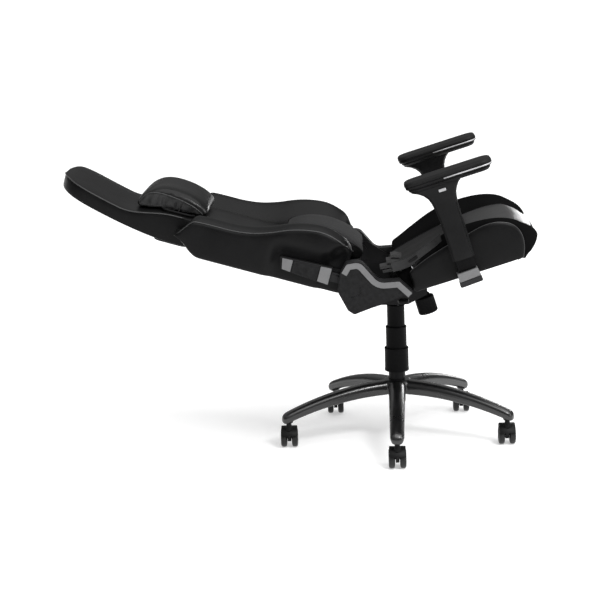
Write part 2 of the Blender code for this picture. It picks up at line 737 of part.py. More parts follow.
def make_bolster(side, frame):
    """A wedge beside the cushion: tall outside, sloping in to the cushion."""
    sign = SIDES[side]
    rear, front = BOLSTER_RIDGE[0][0], BOLSTER_FRONT
    sections = []
    for share in (0.0, 0.086, 0.14, 0.24, 0.36, 0.50, 0.62, 0.74, 0.82, 0.89, 0.94, 0.975, 1.0):
        x = rear + (front - rear) * share
        ridge = along(BOLSTER_RIDGE, x)
        outer = COVER_INNER - 0.004 + (BOLSTER_OUTER - COVER_INNER + 0.004) * blend((x - 0.026) / 0.02)
        inner = BOLSTER_INNER
        nose = max(0.0, (x - 0.340) / (front - 0.340))
        outer = outer - 0.030 * nose ** 2.2
        low = BOLSTER_BOTTOM + 0.022 * nose ** 1.8
        sections.append([Vector((x, sign * y, z)) for y, z in (
            (inner + 0.004, low + 0.016), (outer - 0.012, low), (outer - 0.002, low + 0.008),
            (outer, low + (ridge - low) * 0.55), (outer - 0.010, ridge - 0.016), (outer - 0.026, ridge - 0.002),
            (outer - 0.042, ridge - 0.002), (inner + 0.022, ridge - (ridge - low) * 0.16),
            (inner + 0.004, low + (ridge - low) * 0.62), (inner, low + (ridge - low) * 0.45))])
    return loft("seat_bolster_" + side, sections, frame, "faux_leather")


# ---------------------------------------------------------------- recliner and its covers

def mirrored(side, low, high):
    sign = SIDES[side]
    return sorted((sign * low, sign * high))


def make_recliner(side, seat_frame, back_frame):
    px, pz = RECLINE_PIVOT
    upper_in = RECLINER_UPPER_Y
    lower_in = upper_in + RECLINER_PLATE_T + GAP
    lower_out = lower_in + RECLINER_PLATE_T
    foot = PLATE_BOTTOM + PLATE_T + GAP
    low, high = mirrored(side, lower_in, lower_out)
    outline = fillet([(px - 0.030, foot, 0.006), (-0.014, foot, 0.006), (-0.014, foot + 0.030, 0.010),
                      (px + 0.036, pz + 0.030, 0.028), (px - 0.036, pz + 0.034, 0.028)], 5)
    plate = side_plate("recliner_lower_" + side, outline, low, high, seat_frame, "dark_steel")
    bore = rod("bore", (px, -0.3, pz), (px, 0.3, pz), RECLINER_PIN_R + GAP, seat_frame, "dark_steel", 20)
    cut(plate, bore)

    low, high = mirrored(side, upper_in, upper_in + RECLINER_PLATE_T)
    outline = fillet([(-0.034, -0.026, 0.026), (0.034, -0.026, 0.026), (0.022, 0.096, 0.010),
                      (-0.034, 0.096, 0.010)], 5)
    plate = side_plate("recliner_upper_" + side, outline, low, high, back_frame, "dark_steel")
    bore = rod("bore", (0, -0.3, 0), (0, 0.3, 0), RECLINER_PIN_R + GAP, back_frame, "dark_steel", 20)
    cut(plate, bore)

    sign = SIDES[side]
    head = lower_out + GAP * 2 + 0.003 + GAP
    pin = rod("recliner_pin_" + side, (px, sign * (upper_in - 0.001), pz), (px, sign * (head + PIN_HEAD_T * 0.5), pz),
              RECLINER_PIN_R, seat_frame, "bright_steel", 20)
    cap = rod("cap", (px, sign * head, pz), (px, sign * (head + PIN_HEAD_T), pz), PIN_HEAD_R, seat_frame,
              "bright_steel", 6)
    unite(pin, cap)


def cover_crest():
    """The cover's wavy top edge, from its rear end to its front tail."""
    px, pz = RECLINE_PIVOT
    return [(px - 0.038, pz + 0.056, 0.004), (px - 0.016, pz + 0.076, 0.014), (px + 0.024, pz + 0.070, 0.030),
            (px + 0.056, pz - 0.002, 0.032), (px + 0.111, pz - 0.015, 0.003), (px + 0.136, pz - 0.058, 0.002)]


def make_hinge_cover(side, frame):
    px, pz = RECLINE_PIVOT
    crest = cover_crest()
    outline = fillet(crest + [(px - 0.038, pz - 0.069, 0.010), (px - 0.051, pz - 0.052, 0.010),
                              (px - 0.062, pz + 0.006, 0.020)], 5)
    low, high = mirrored(side, COVER_INNER, COVER_OUTER)
    cover = side_plate("hinge_cover_" + side, outline, low, high, frame, "cover_plastic")
    bevel(cover, 0.0025, 2, 60)
    cover = bake(cover)
    sign = SIDES[side]
    room = rod("room", (px, sign * (COVER_INNER - 0.01), pz), (px, sign * (COVER_INNER + 0.030), pz), 0.034, frame,
               "cover_plastic", 28)
    slot = box("slot", (px - 0.02, min(sign * (COVER_INNER - 0.01), sign * (COVER_INNER + 0.028)), pz - 0.052),
               (px + 0.05, max(sign * (COVER_INNER - 0.01), sign * (COVER_INNER + 0.028)), pz - 0.02), frame,
               "cover_plastic")
    smooth(cut(cover, room, slot))


def offset_corners(corners, distance):
    """Move an open run of (x, y, radius) corners sideways, to the right of its direction."""
    moved = []
    for i, (x, y, radius) in enumerate(corners):
        here = Vector((x, y))
        before = here - Vector(corners[max(i - 1, 0)][:2])
        after = Vector(corners[min(i + 1, len(corners) - 1)][:2]) - here
        before = (before if before.length else after).normalized()
        after = (after if after.length else before).normalized()
        right = Vector((before.y + after.y, -before.x - after.x)).normalized()
        reach = distance / max(0.5, right.dot(Vector((after.y, -after.x))))
        turns_left = before.x * after.y - before.y * after.x > 0
        radius = radius + distance if turns_left else max(0.002, radius - distance)
        moved.append((*(here + right * reach), radius))
    return moved


def make_hinge_accent(side, frame):
    """A brushed strip that follows the cover's crest, standing just proud of its face."""
    upper = fillet(offset_corners(cover_crest(), ACCENT_INSET), 5, closed=False)
    lower = fillet(offset_corners(cover_crest(), ACCENT_INSET + ACCENT_WIDTH), 5, closed=False)
    low, high = mirrored(side, COVER_OUTER + ACCENT_GAP, COVER_OUTER + ACCENT_GAP + ACCENT_T)
    side_plate("hinge_accent_" + side, upper + list(reversed(lower)), low, high, frame, "silver")


# ---------------------------------------------------------------- backrest

def head_lean(z):
    """How far the head end curves forward at a height up the backrest."""
    share = max(0.0, (z - HEAD_START) / (BACK_LENGTH - HEAD_START))
    return HEAD_LEAN * share ** 1.5


def back_face(z):
    """The front face of the middle pad."""
    return FRONT_PAD_FACE + (HEAD_FACE - FRONT_PAD_FACE) * blend((z - HEAD_START) / 0.16) + head_lean(z)


def back_half_width(z):
    width = BACK_HALF_WIDTH + (HEAD_HALF_WIDTH - BACK_HALF_WIDTH) * blend((z - 0.4) / 0.15)
    round_start = BACK_LENGTH - 0.120
    share = max(0.0, (z - round_start) / (BACK_LENGTH - round_start))
    return width * (1 - min(share, 0.985) ** 3.2) ** (1 / 2.6)


BACK_STATIONS = (0.0, 0.06, 0.16, 0.26, 0.36, 0.44, 0.50, 0.56, 0.60, 0.64, 0.68, 0.72, 0.76, 0.80, 0.83, 0.855,
                 0.872, 0.880)


def make_back_pad(name, low_face, high_face, frame):
    """One layer of the backrest between two faces, following the head's forward curve."""
    sections = []
    for share in BACK_STATIONS:
        z = share / BACK_STATIONS[-1] * BACK_LENGTH
        loop = round_box_section(back_half_width(z), low_face(z), high_face(z), 0.006)
        sections.append([Vector((p.y, p.x, z)) for p in loop])
    pad = loft(name, sections, frame, "faux_leather")
    for sign in (-1, 1):
        pad = cut(pad, harness_hole(sign, 0.0004, frame))
    return smooth(pad)


def harness_hole(sign, margin, frame, middle=0.0, depth=0.3):
    """A rounded block the size of a harness hole."""
    across, up = HARNESS_HOLE
    half_x = HARNESS_HOLE_SIZE[0] / 2 + margin
    half_z = HARNESS_HOLE_SIZE[1] / 2 + margin
    radius = HARNESS_HOLE_SIZE[0] * 0.36 + margin
    points = fillet([(-half_x, -half_z, radius), (half_x, -half_z, radius),
                     (half_x, half_z, radius), (-half_x, half_z, radius)], 4)
    block = outline_curve("hole", points, depth, frame, "faux_leather")
    block.location = (middle, sign * across, up)
    block.rotation_euler = (math.pi / 2, 0.0, math.pi / 2)
    return settle(bake(block))


def make_bezel(side, frame):
    """The plastic lining of a harness hole."""
    sign = SIDES[side]
    low = BACK_REAR - 0.002
    high = FRONT_PAD_FACE + 0.002
    ring = harness_hole(sign, -0.0001, frame, (low + high) / 2, high - low)
    ring.name = "harness_bezel_" + side
    opening = harness_hole(sign, -BEZEL_WALL, frame)
    return smooth(repaint(cut(ring, opening), "black_plastic"))


def make_back_frame(frame):
    """A tube hoop between the two pads, narrow through the head, and a tube across its foot."""
    middle = BACK_REAR + REAR_PAD_T + TUBE_ROOM
    wide, narrow = 0.145, 0.070
    neck_low, neck_high = HARNESS_HOLE[1] - 0.095, HARNESS_HOLE[1] - 0.045
    hoop = fillet([(wide, 0.018, 0), (wide, neck_low, 0.03), (narrow, neck_high, 0.03),
                   (narrow, BACK_LENGTH - 0.09, 0.04), (-narrow, BACK_LENGTH - 0.09, 0.04),
                   (-narrow, neck_high, 0.03), (-wide, neck_low, 0.03), (-wide, 0.018, 0)], 4, closed=False)
    path = []
    for first, second in zip(hoop, hoop[1:]):
        pieces = max(1, round((second - first).length / 0.06))
        for k in range(pieces):
            path.append(first.lerp(second, k / pieces))
    path.append(hoop[-1])
    points = [(middle + head_lean(p.y), p.x, p.y) for p in path]
    back = tube("back_frame", points, BACK_TUBE_R, frame, "dark_steel")
    reach = RECLINER_UPPER_Y - GAP
    foot = rod("foot", (middle, -reach, 0.018), (middle, reach, 0.018), BACK_TUBE_R * 1.05, frame, "dark_steel", 16)
    return unite(back, foot)


WING_RIDGE = [(0.040, 0.072), (0.085, 0.106), (0.140, 0.118), (0.185, 0.116), (0.250, 0.092), (0.330, 0.066),
              (0.400, 0.060), (0.480, 0.060), (0.538, 0.030)]
WING_WIDTH = [(0.040, 0.2380), (0.104, 0.2380), (0.122, 0.2550), (0.246, 0.2550), (0.268, 0.2720), (0.470, 0.2720),
              (0.538, 0.2500)]


def make_wing(side, frame):
    """A side wing of the backrest: a tall outer wall that slopes in to the middle pad."""
    sign = SIDES[side]
    sections = []
    for z in (0.040, 0.070, 0.104, 0.122, 0.160, 0.200, 0.246, 0.268, 0.310, 0.370, 0.430, 0.480, 0.515, WING_TOP):
        ridge = along(WING_RIDGE, z)
        outer = along(WING_WIDTH, z)
        rear = BACK_REAR - 0.003 + 0.048 * blend((z - 0.455) / 0.085)
        inner = WING_INNER
        sections.append([Vector((x, sign * y, z)) for x, y in (
            (rear + 0.004, inner), (rear, inner + 0.012), (rear + 0.001, outer - 0.010), (rear + 0.009, outer - 0.001),
            (rear + (ridge - rear) * 0.6, outer), (ridge - 0.014, outer - 0.006), (ridge - 0.002, outer - 0.018),
            (ridge - 0.003, outer - 0.032), (rear + (ridge - rear) * 0.80, inner + 0.026),
            (rear + (ridge - rear) * 0.62, inner + 0.004))])
    return loft("back_wing_" + side, sections, frame, "faux_leather")


def make_backrest(frame):
    def rear_face(z):
        return BACK_REAR + head_lean(z)

    def rear_inner(z):
        return BACK_REAR + REAR_PAD_T + head_lean(z)

    def front_inner(z):
        return BACK_REAR + REAR_PAD_T + TUBE_ROOM * 2 + head_lean(z)

    make_back_frame(frame)
    make_back_pad("backrest_rear_pad", rear_face, rear_inner, frame)
    make_back_pad("backrest_front_pad", front_inner, back_face, frame)
    for side in SIDES:
        make_wing(side, frame)
        make_bezel(side, frame)


def pillow_block(name, low, size, radius, frame, slot):
    """A rounded block; size is thickness, width and height, and low is its foot and bottom."""
    thick, width, height = size
    block = box(name, (low[0], -width / 2, low[1]), (low[0] + thick, width / 2, low[1] + height), frame, slot)
    bevel(block, radius, 3)
    return smooth(bake(block), 60)


def make_recline_lever(frame):
    """A flat handle beside the backrest, on a tongue that turns on the recliner pin."""
    tongue_in = RECLINER_UPPER_Y + RECLINER_PLATE_T * 2 + GAP * 2
    tongue_out = tongue_in + 0.003
    outline = fillet([(-0.014, -0.014, 0.013), (0.014, -0.014, 0.013), (0.014, 0.100, 0.004),
                      (-0.014, 0.100, 0.004)], 5)
    lever = side_plate("recline_lever", outline, -tongue_out, -tongue_in, frame, "black_plastic")
    inner, outer = LEVER_INNER_END, LEVER_OUTER_END
    body = fillet([(-0.022, inner, 0.004), (0.031, inner, 0.004), (0.024, outer, 0.004), (-0.010, outer - 0.012, 0.004)], 3)
    handle = side_plate("handle", body, -LEVER_Y[1], -LEVER_Y[0], frame, "black_plastic")
    handle = bake(bevel(handle, 0.002, 2, 60))
    joint = box("joint", (-0.010, -LEVER_Y[0] - 0.006, inner + 0.002), (0.010, -tongue_in - 0.0005, inner + 0.014),
                frame, "black_plastic")
    lever = unite(lever, joint, handle)
    bore = rod("bore", (0, -0.3, 0), (0, -0.2, 0), RECLINER_PIN_R + GAP, frame, "black_plastic", 20)
    smooth(cut(lever, bore))


# ---------------------------------------------------------------- armrests

def make_armrest_bracket(side, frame):
    """A bar under the seat with an upright foot for the post."""
    x0, x1 = ARMREST_X - 0.031, ARMREST_X + 0.033
    low, high = mirrored(side, 0.100, ARMREST_Y + 0.019)
    bar = box("armrest_bracket_" + side, (x0 + 0.004, low, PLATE_BOTTOM), (x1 - 0.010, high, PLATE_BOTTOM + PLATE_T),
              frame, "silver")
    low, high = mirrored(side, ARMREST_Y - 0.019, ARMREST_Y + 0.0195)
    outline = fillet([(x0 - 0.002, 0.011, 0.006), (x1 + 0.002, 0.014, 0.006), (x1 - 0.006, 0.053, 0.003),
                      (x0, 0.051, 0.003)], 3)
    foot = side_plate("foot", outline, low, high, frame, "silver")
    foot = bake(bevel(foot, 0.0015, 1, 60))
    return smooth(unite(bar, foot))


def make_armrest_post(side, frame):
    sign = SIDES[side]
    half_x, half_y = POST_SIZE[0] / 2, POST_SIZE[1] / 2
    y = sign * ARMREST_Y
    post = box("armrest_post_" + side, (ARMREST_X - half_x, y - half_y, 0.0535),
               (ARMREST_X + half_x, y + half_y, POST_TOP), frame, "black_plastic")
    return bake(bevel(post, 0.004, 2, 60))


def chamfered(half_x, half_y, chamfer):
    return [(half_x, -half_y + chamfer), (half_x, half_y - chamfer), (half_x - chamfer, half_y),
            (-half_x + chamfer, half_y), (-half_x, half_y - chamfer), (-half_x, -half_y + chamfer),
            (-half_x + chamfer, -half_y), (half_x - chamfer, -half_y)]


def make_armrest_sleeve(side, frame):
    """A faceted case that slides on the post and flares into the neck under the pad."""
    sign = SIDES[side]
    half_x, half_y = SLEEVE_SIZE[0] / 2, SLEEVE_SIZE[1] / 2
    flare = [(SLEEVE_BOTTOM, 0.000, 0.000, 0.000), (SLEEVE_BOTTOM + 0.004, 0.001, 0.001, 0.001),
             (NECK_BASE - 0.06, 0.003, 0.001, 0.000), (NECK_BASE, 0.008, 0.002, 0.000),
             (NECK_BASE + 0.018, 0.014, 0.006, 0.002), (NECK_BASE + 0.034, 0.030, 0.014, 0.006),
             (NECK_TOP - 0.003, 0.052, 0.028, 0.012), (NECK_TOP, 0.054, 0.030, 0.012)]
    sections = []
    for z, rear, front, sides in flare:
        middle = ARMREST_X + (front - rear) / 2
        loop = chamfered(half_x + (front + rear) / 2, half_y + sides, 0.008)
        sections.append([Vector((middle + x, sign * ARMREST_Y + y, z)) for x, y in loop])
    sleeve = loft("armrest_sleeve_" + side, sections, frame, "black_plastic")
    clear_x, clear_y = POST_SIZE[0] / 2 + GAP, POST_SIZE[1] / 2 + GAP
    y = sign * ARMREST_Y
    bore = box("bore", (ARMREST_X - clear_x, y - clear_y, SLEEVE_BOTTOM - 0.01),
               (ARMREST_X + clear_x, y + clear_y, NECK_BASE - 0.008), frame, "black_plastic")
    low, high = mirrored(side, ARMREST_Y + half_y - 0.002, ARMREST_Y + half_y + 0.03)
    button_room = box("button_room", (ARMREST_X - 0.010 - GAP, low, BUTTON_BOTTOM - GAP),
                      (ARMREST_X + 0.010 + GAP, high, BUTTON_BOTTOM + BUTTON_HEIGHT + GAP), frame, "black_plastic")
    return smooth(cut(sleeve, bore, button_room), 20)


def make_armrest_button(side, frame):
    half_y = SLEEVE_SIZE[1] / 2
    low, high = mirrored(side, ARMREST_Y + half_y + 0.001, ARMREST_Y + half_y + 0.008)
    button = box("armrest_button_" + side, (ARMREST_X - 0.010, low, BUTTON_BOTTOM),
                 (ARMREST_X + 0.010, high, BUTTON_BOTTOM + BUTTON_HEIGHT), frame, "silver")
    return bake(bevel(button, 0.001, 1))


def pad_outline(length, width, radius):
    x0, x1 = -length / 2, length / 2
    return fillet([(x0, -width / 2, radius), (x1, -width / 2, radius), (x1, width / 2, radius),
                   (x0, width / 2, radius)], 5)


def make_armrest_pad(side, turn_frame, slide_frame):
    length, width, thick = PAD_SIZE
    base = outline_curve("armrest_pad_base_" + side, pad_outline(length - 0.016, width - 0.014, 0.022),
                         PAD_BASE_T - GAP, turn_frame, "black_plastic")
    base.location.z = GAP / 2 + PAD_BASE_T / 2
    base.location.x = PAD_X - ARMREST_X
    repaint(settle(bake(base)), "black_plastic")
    pad = outline_curve("armrest_pad_" + side, pad_outline(length, width, 0.028), thick, slide_frame, "soft_pad")
    pad.location.z = PAD_BASE_T + GAP + thick / 2
    pad.location.x = PAD_X - ARMREST_X
    pad = repaint(settle(bake(pad)), "soft_pad")
    smooth(bake(bevel(pad, 0.006, 2, 60)))


def make_armrest(side, frame):
    sign = SIDES[side]
    make_armrest_bracket(side, frame)
    make_armrest_post(side, frame)
    make_armrest_sleeve(side, frame)
    make_armrest_button(side, frame)
    turn_frame = make_frame("pad_turn_" + side, frame, (ARMREST_X, sign * ARMREST_Y, NECK_TOP))
    slide_frame = make_frame("pad_slide_" + side, turn_frame)
    make_armrest_pad(side, turn_frame, slide_frame)


# ---------------------------------------------------------------- assembly

def build_chair():
    base = make_frame("base_frame", location=(COLUMN_X, 0.0, 0.0))
    lift = make_frame("lift_frame", base)
    swivel = make_frame("swivel_frame", lift)
    lever_place = (0.0, -HOUSING_HALF_WIDTH - 2 * GAP, ROCK_PIVOT_Z - 0.006)
    lever_frame = make_frame("height_lever_frame", swivel, lever_place)
    seat = make_frame("seat_frame_origin", swivel, (ROCK_PIVOT_X, 0.0, ROCK_PIVOT_Z), -ROCK)
    pivot = (RECLINE_PIVOT[0], 0.0, RECLINE_PIVOT[1])
    back = make_frame("back_frame_origin", seat, pivot, -RECLINE)
    handle = make_frame("recline_lever_frame", back)

    make_star_base(base)
    make_casters(base)
    make_gas_lift(base, lift)
    make_mechanism(swivel, seat)
    make_height_lever(lever_frame)

    make_seat_frame(seat)
    make_webbing(seat)
    make_seat_cushion(seat)
    for side in SIDES:
        make_bolster(side, seat)
        make_recliner(side, seat, back)
        make_hinge_cover(side, seat)
        make_hinge_accent(side, seat)
        make_armrest(side, seat)

    make_backrest(back)
    thick, _, height = PILLOW_SIZE
    pillow_block("head_pillow", (PILLOW_FOOT, PILLOW_MIDDLE - height / 2), PILLOW_SIZE, thick * 0.42, back,
                 "faux_leather")
    pillow_block("lumbar_cushion", (FRONT_PAD_FACE + 0.004, LUMBAR_BOTTOM), LUMBAR_SIZE, LUMBAR_SIZE[0] * 0.3, back,
                 "suede")
    make_recline_lever(handle)


build_chair()
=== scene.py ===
"""Looks for the gaming chair: upholstery, mouldings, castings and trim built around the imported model.

Everything is in metres in the row frame. Pieces of the seat and the backrest are shaped in local frames
read from the joints: SEAT has x forward along the seat and z square to it, from the rocking pivot; BACK
has x out of the backrest's front and z up the backrest, from the recline pivot.
"""

import json
import math

import bmesh
import bpy
from mathutils import Matrix, Vector
from mathutils.bvhtree import BVHTree


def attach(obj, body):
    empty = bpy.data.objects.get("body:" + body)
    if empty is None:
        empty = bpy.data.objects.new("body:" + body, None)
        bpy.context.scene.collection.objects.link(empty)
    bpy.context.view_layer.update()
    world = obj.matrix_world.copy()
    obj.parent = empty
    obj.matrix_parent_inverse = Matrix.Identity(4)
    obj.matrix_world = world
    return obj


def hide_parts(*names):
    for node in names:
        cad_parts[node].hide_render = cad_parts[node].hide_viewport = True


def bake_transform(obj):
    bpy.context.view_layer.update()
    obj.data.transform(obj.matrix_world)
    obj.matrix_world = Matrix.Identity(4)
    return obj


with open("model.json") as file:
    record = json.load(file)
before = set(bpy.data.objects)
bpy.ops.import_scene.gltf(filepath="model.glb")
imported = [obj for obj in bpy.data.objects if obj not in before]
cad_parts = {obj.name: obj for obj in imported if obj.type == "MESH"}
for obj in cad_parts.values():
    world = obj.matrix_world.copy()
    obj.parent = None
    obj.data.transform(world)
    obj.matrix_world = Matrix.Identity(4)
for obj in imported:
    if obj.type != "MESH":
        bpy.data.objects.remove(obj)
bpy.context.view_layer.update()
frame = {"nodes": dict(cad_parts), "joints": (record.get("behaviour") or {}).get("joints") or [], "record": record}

SIDES = {"right": -1, "left": 1}
CLOSE = 0.0006               # gap between pieces that lie on each other


# ---------------------------------------------------------------- local frames

def joint(name):
    return next(j for j in frame["joints"] if j["name"] == name)


def local_frame(place, up):
    up = Vector(up)
    across = Vector((0.0, 1.0, 0.0))
    forward = across.cross(up)
    turn = Matrix((forward, across, up)).transposed().to_4x4()
    return Matrix.Translation(Vector(place)) @ turn


SEAT = local_frame(joint("seat_rock")["pos_m"], joint("armrest_height_right")["axis"])
BACK = local_frame(joint("backrest_recline")["pos_m"], joint("head_pillow_slide")["axis"])
COLUMN = Matrix.Translation(Vector((*joint("seat_swivel")["pos_m"][:2], 0.0)))
ROW = Matrix.Identity(4)


def span(node, place):
    """Lowest and highest corner of a CAD node in a local frame."""
    turn = place.inverted()
    points = [turn @ v.co for v in frame["nodes"][node].data.vertices]
    low = Vector([min(p[i] for p in points) for i in range(3)])
    high = Vector([max(p[i] for p in points) for i in range(3)])
    return low, high


def inner_outer(stem, side):
    """The inner and outer y of a paired CAD node."""
    low, high = span(stem + side, SEAT)
    return (low.y, high.y) if SIDES[side] > 0 else (high.y, low.y)


# ---------------------------------------------------------------- materials

def value_node(tree, kind, **settings):
    node = tree.nodes.new(kind)
    for key, value in settings.items():
        if key in node.inputs:
            node.inputs[key].default_value = value
        else:
            setattr(node, key, value)
    return node


def link(tree, source, output, target, socket):
    tree.links.new(source.outputs[output], target.inputs[socket])


def surface(name, colour, roughness, metallic=0.0, spread=0.25, blotch=14.0, grain="noise", scale=700.0,
        bump=0.25, depth=0.0003, rough_spread=0.12, stretch=(1, 1, 1), specular=0.5, coat=0.0, sheen=0.0):
    """A Principled material whose colour, roughness and relief all vary over the surface."""
    mat = bpy.data.materials.new(name)
    mat.use_nodes = True
    tree = mat.node_tree
    shader = tree.nodes["Principled BSDF"]
    shader.inputs["Metallic"].default_value = metallic
    shader.inputs["Specular IOR Level"].default_value = specular
    shader.inputs["Coat Weight"].default_value = coat
    shader.inputs["Coat Roughness"].default_value = 0.22
    shader.inputs["Sheen Weight"].default_value = sheen
    shader.inputs["Sheen Roughness"].default_value = 0.45
    place = tree.nodes.new("ShaderNodeTexCoord")
    large = value_node(tree, "ShaderNodeTexNoise", Scale=blotch, Detail=4.0, Roughness=0.6)
    link(tree, place, "Object", large, "Vector")
    tint = tree.nodes.new("ShaderNodeValToRGB")
    tint.color_ramp.elements[0].position = 0.3
    tint.color_ramp.elements[0].color = (*[c * (1 - spread) for c in colour], 1.0)
    tint.color_ramp.elements[1].position = 0.72
    tint.color_ramp.elements[1].color = (*[c * (1 + spread) for c in colour], 1.0)
    link(tree, large, "Fac", tint, "Fac")
    turn = tree.nodes.new("ShaderNodeMapping")
    turn.inputs["Scale"].default_value = stretch
    link(tree, place, "Object", turn, "Vector")
    if grain == "cells":
        fine = value_node(tree, "ShaderNodeTexVoronoi", feature="SMOOTH_F1", Scale=scale, Smoothness=0.6)
        relief = "Distance"
    elif grain == "weave":
        fine = value_node(tree, "ShaderNodeTexWave", Scale=scale, Distortion=1.5)
        relief = "Fac"
    else:
        fine = value_node(tree, "ShaderNodeTexNoise", Scale=scale, Detail=3.0, Roughness=0.7)
        relief = "Fac"
    link(tree, turn, "Vector", fine, "Vector")
    mix = tree.nodes.new("ShaderNodeMix")
    mix.data_type = "RGBA"
    mix.blend_type = "MULTIPLY"
    mix.inputs["Factor"].default_value = 0.35
    tree.links.new(tint.outputs["Color"], mix.inputs[6])
    tree.links.new(fine.outputs[relief], mix.inputs[7])
    tree.links.new(mix.outputs[2], shader.inputs["Base Color"])
    wear = value_node(tree, "ShaderNodeMapRange")
    wear.inputs["To Min"].default_value = max(0.05, roughness - rough_spread)
    wear.inputs["To Max"].default_value = min(1.0, roughness + rough_spread)
    link(tree, large, "Fac", wear, "Value")
    tree.links.new(wear.outputs["Result"], shader.inputs["Roughness"])
    raise_by = value_node(tree, "ShaderNodeBump", Strength=bump, Distance=depth)
    tree.links.new(fine.outputs[relief], raise_by.inputs["Height"])
    tree.links.new(raise_by.outputs["Normal"], shader.inputs["Normal"])
    return mat


LEATHER = surface("black_leather", (0.005, 0.005, 0.0052), 0.38, grain="cells", scale=620.0, bump=0.28,
    specular=0.11)
# Smooth leather of the seat's centre panel. It is glossier, and its colour is about three times lighter than the
# black leather as a painted highlight of light glancing off the seat's front.
GLOSS_LEATHER_PAINTED_HIGHLIGHT = surface("smooth_leather_painted_highlight", (0.016, 0.016, 0.0165), 0.34, grain="cells", scale=700.0,
    bump=0.12, specular=0.5)
DARK_CLOTH = surface("black_gusset", (0.003, 0.003, 0.0031), 0.8, grain="weave", scale=420.0, bump=0.3,
    specular=0.03)
# Piping leather about four times lighter than the black leather it edges: a painted highlight along ridges and
# seams.
PIPING_PAINTED_HIGHLIGHT = surface("piping_leather_painted_highlight", (0.023, 0.023, 0.0235), 0.36, grain="cells", scale=900.0, bump=0.12)
# Leather about four times lighter than the pillow's top: painted highlights on the pillow's gathered end panels
# and on the seat's gusset folds and strap.
PAINTED_HIGHLIGHT_LEATHER = surface("gathered_leather_painted_highlight", (0.02, 0.02, 0.0205), 0.34, grain="cells", scale=620.0, bump=0.25,
    specular=0.3)
PILLOW_SKIN = surface("pillow_leather", (0.0046, 0.0046, 0.0048), 0.31, grain="cells", scale=620.0,
    bump=0.25, specular=0.16)
TUBE_PLASTIC = surface("tube_black", (0.0038, 0.0038, 0.004), 0.5, scale=1500.0, bump=0.25, specular=0.06)
SUEDE = surface("brushed_suede", (0.021, 0.021, 0.0215), 0.88, spread=0.18, blotch=30.0, scale=1500.0,
    bump=0.45, depth=0.0004, specular=0.1, sheen=0.03)
WEBBING = surface("strap_webbing", (0.01, 0.01, 0.0105), 0.75, grain="weave", scale=300.0, bump=0.5,
    sheen=0.05)
CASTING = surface("satin_powder_coat", (0.005, 0.005, 0.0053), 0.3, scale=1400.0, bump=0.1, specular=0.55,
    coat=0.25)
STEEL = surface("dark_painted_steel", (0.018, 0.018, 0.019), 0.42, metallic=0.3, scale=900.0, bump=0.12,
    specular=0.3)
GROUND = surface("ground_steel", (0.45, 0.45, 0.46), 0.24, metallic=1.0, scale=300.0, stretch=(1, 1, 12),
    bump=0.08)
PLASTIC = surface("moulded_black", (0.008, 0.008, 0.0083), 0.45, scale=1700.0, bump=0.35, specular=0.1)
COVER_PLASTIC = surface("moulded_charcoal", (0.0115, 0.0115, 0.012), 0.58, spread=0.45, blotch=90.0,
    scale=1200.0, bump=0.5, specular=0.12)
SILVER = surface("brushed_silver", (0.175, 0.175, 0.178), 0.44, metallic=0.35, spread=0.1, scale=260.0,
    stretch=(1, 1, 14), bump=0.2)
# Bright polished metal for the armrest keys and armrest strips (the strips partly a painted highlight), and for a
# small painted glint on the buckle.
POLISHED_TRIM_AND_GLINT = surface("polished_trim_and_painted_glint", (0.5, 0.5, 0.51), 0.3, metallic=0.4, spread=0.1, scale=400.0, bump=0.05)
PAD_SKIN = surface("soft_pad_skin", (0.0085, 0.0085, 0.0088), 0.52, scale=1100.0, bump=0.35, specular=0.12)
TREAD = surface("wheel_nylon", (0.0105, 0.0105, 0.011), 0.4, scale=900.0, bump=0.2, specular=0.3)
FLOOR = surface("pale_floor", (0.9, 0.9, 0.9), 0.85, spread=0.004, blotch=1.0, scale=60.0, bump=0.0,
    rough_spread=0.02, specular=0.05)

COATED = surface("coated_steel", (0.0052, 0.0052, 0.0055), 0.46, scale=1200.0, bump=0.12, specular=0.14)

CAD_FINISH = {"powder_coat": COATED, "dark_steel": COATED, "bright_steel": GROUND, "silver": SILVER,
    "black_plastic": TUBE_PLASTIC, "cover_plastic": COVER_PLASTIC, "soft_pad": PAD_SKIN, "tread": TREAD,
    "faux_leather": LEATHER, "suede": SUEDE, "webbing": WEBBING,}


# ---------------------------------------------------------------- mesh tools

def add_piece(name, verts, faces, material, place=ROW):
    mesh = bpy.data.meshes.new(name)
    mesh.from_pydata([tuple(v) for v in verts], [], faces)
    mesh.validate()
    bm = bmesh.new()
    bm.from_mesh(mesh)
    bmesh.ops.recalc_face_normals(bm, faces=bm.faces)
    bm.to_mesh(mesh)
    bm.free()
    mesh.transform(place)
    mesh.materials.append(material)
    mesh.shade_smooth()
    obj = bpy.data.objects.new(name, mesh)
    bpy.context.scene.collection.objects.link(obj)
    return obj


def settle_on(obj, body, replaces=()):
    """Say what a piece rides on and the CAD nodes it stands for."""
    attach(obj, body)
    if replaces:
        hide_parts(*replaces)


def dress(obj, *materials):
    """Give an object these materials and no others."""
    obj.data.materials.clear()
    for material in materials:
        obj.data.materials.append(material)


def subdivide(obj, levels):
    modifier = obj.modifiers.new("subdivide", "SUBSURF")
    modifier.levels = levels
    modifier.render_levels = levels


def round_edges(obj, width, segments=2, angle=35.0):
    modifier = obj.modifiers.new("round", "BEVEL")
    modifier.width = width
    modifier.segments = segments
    modifier.limit_method = "ANGLE"
    modifier.angle_limit = math.radians(angle)
    modifier.harden_normals = True


def apply_modifiers(obj):
    graph = bpy.context.evaluated_depsgraph_get()
    mesh = bpy.data.meshes.new_from_object(obj.evaluated_get(graph), depsgraph=graph)
    obj.modifiers.clear()
    obj.data = mesh


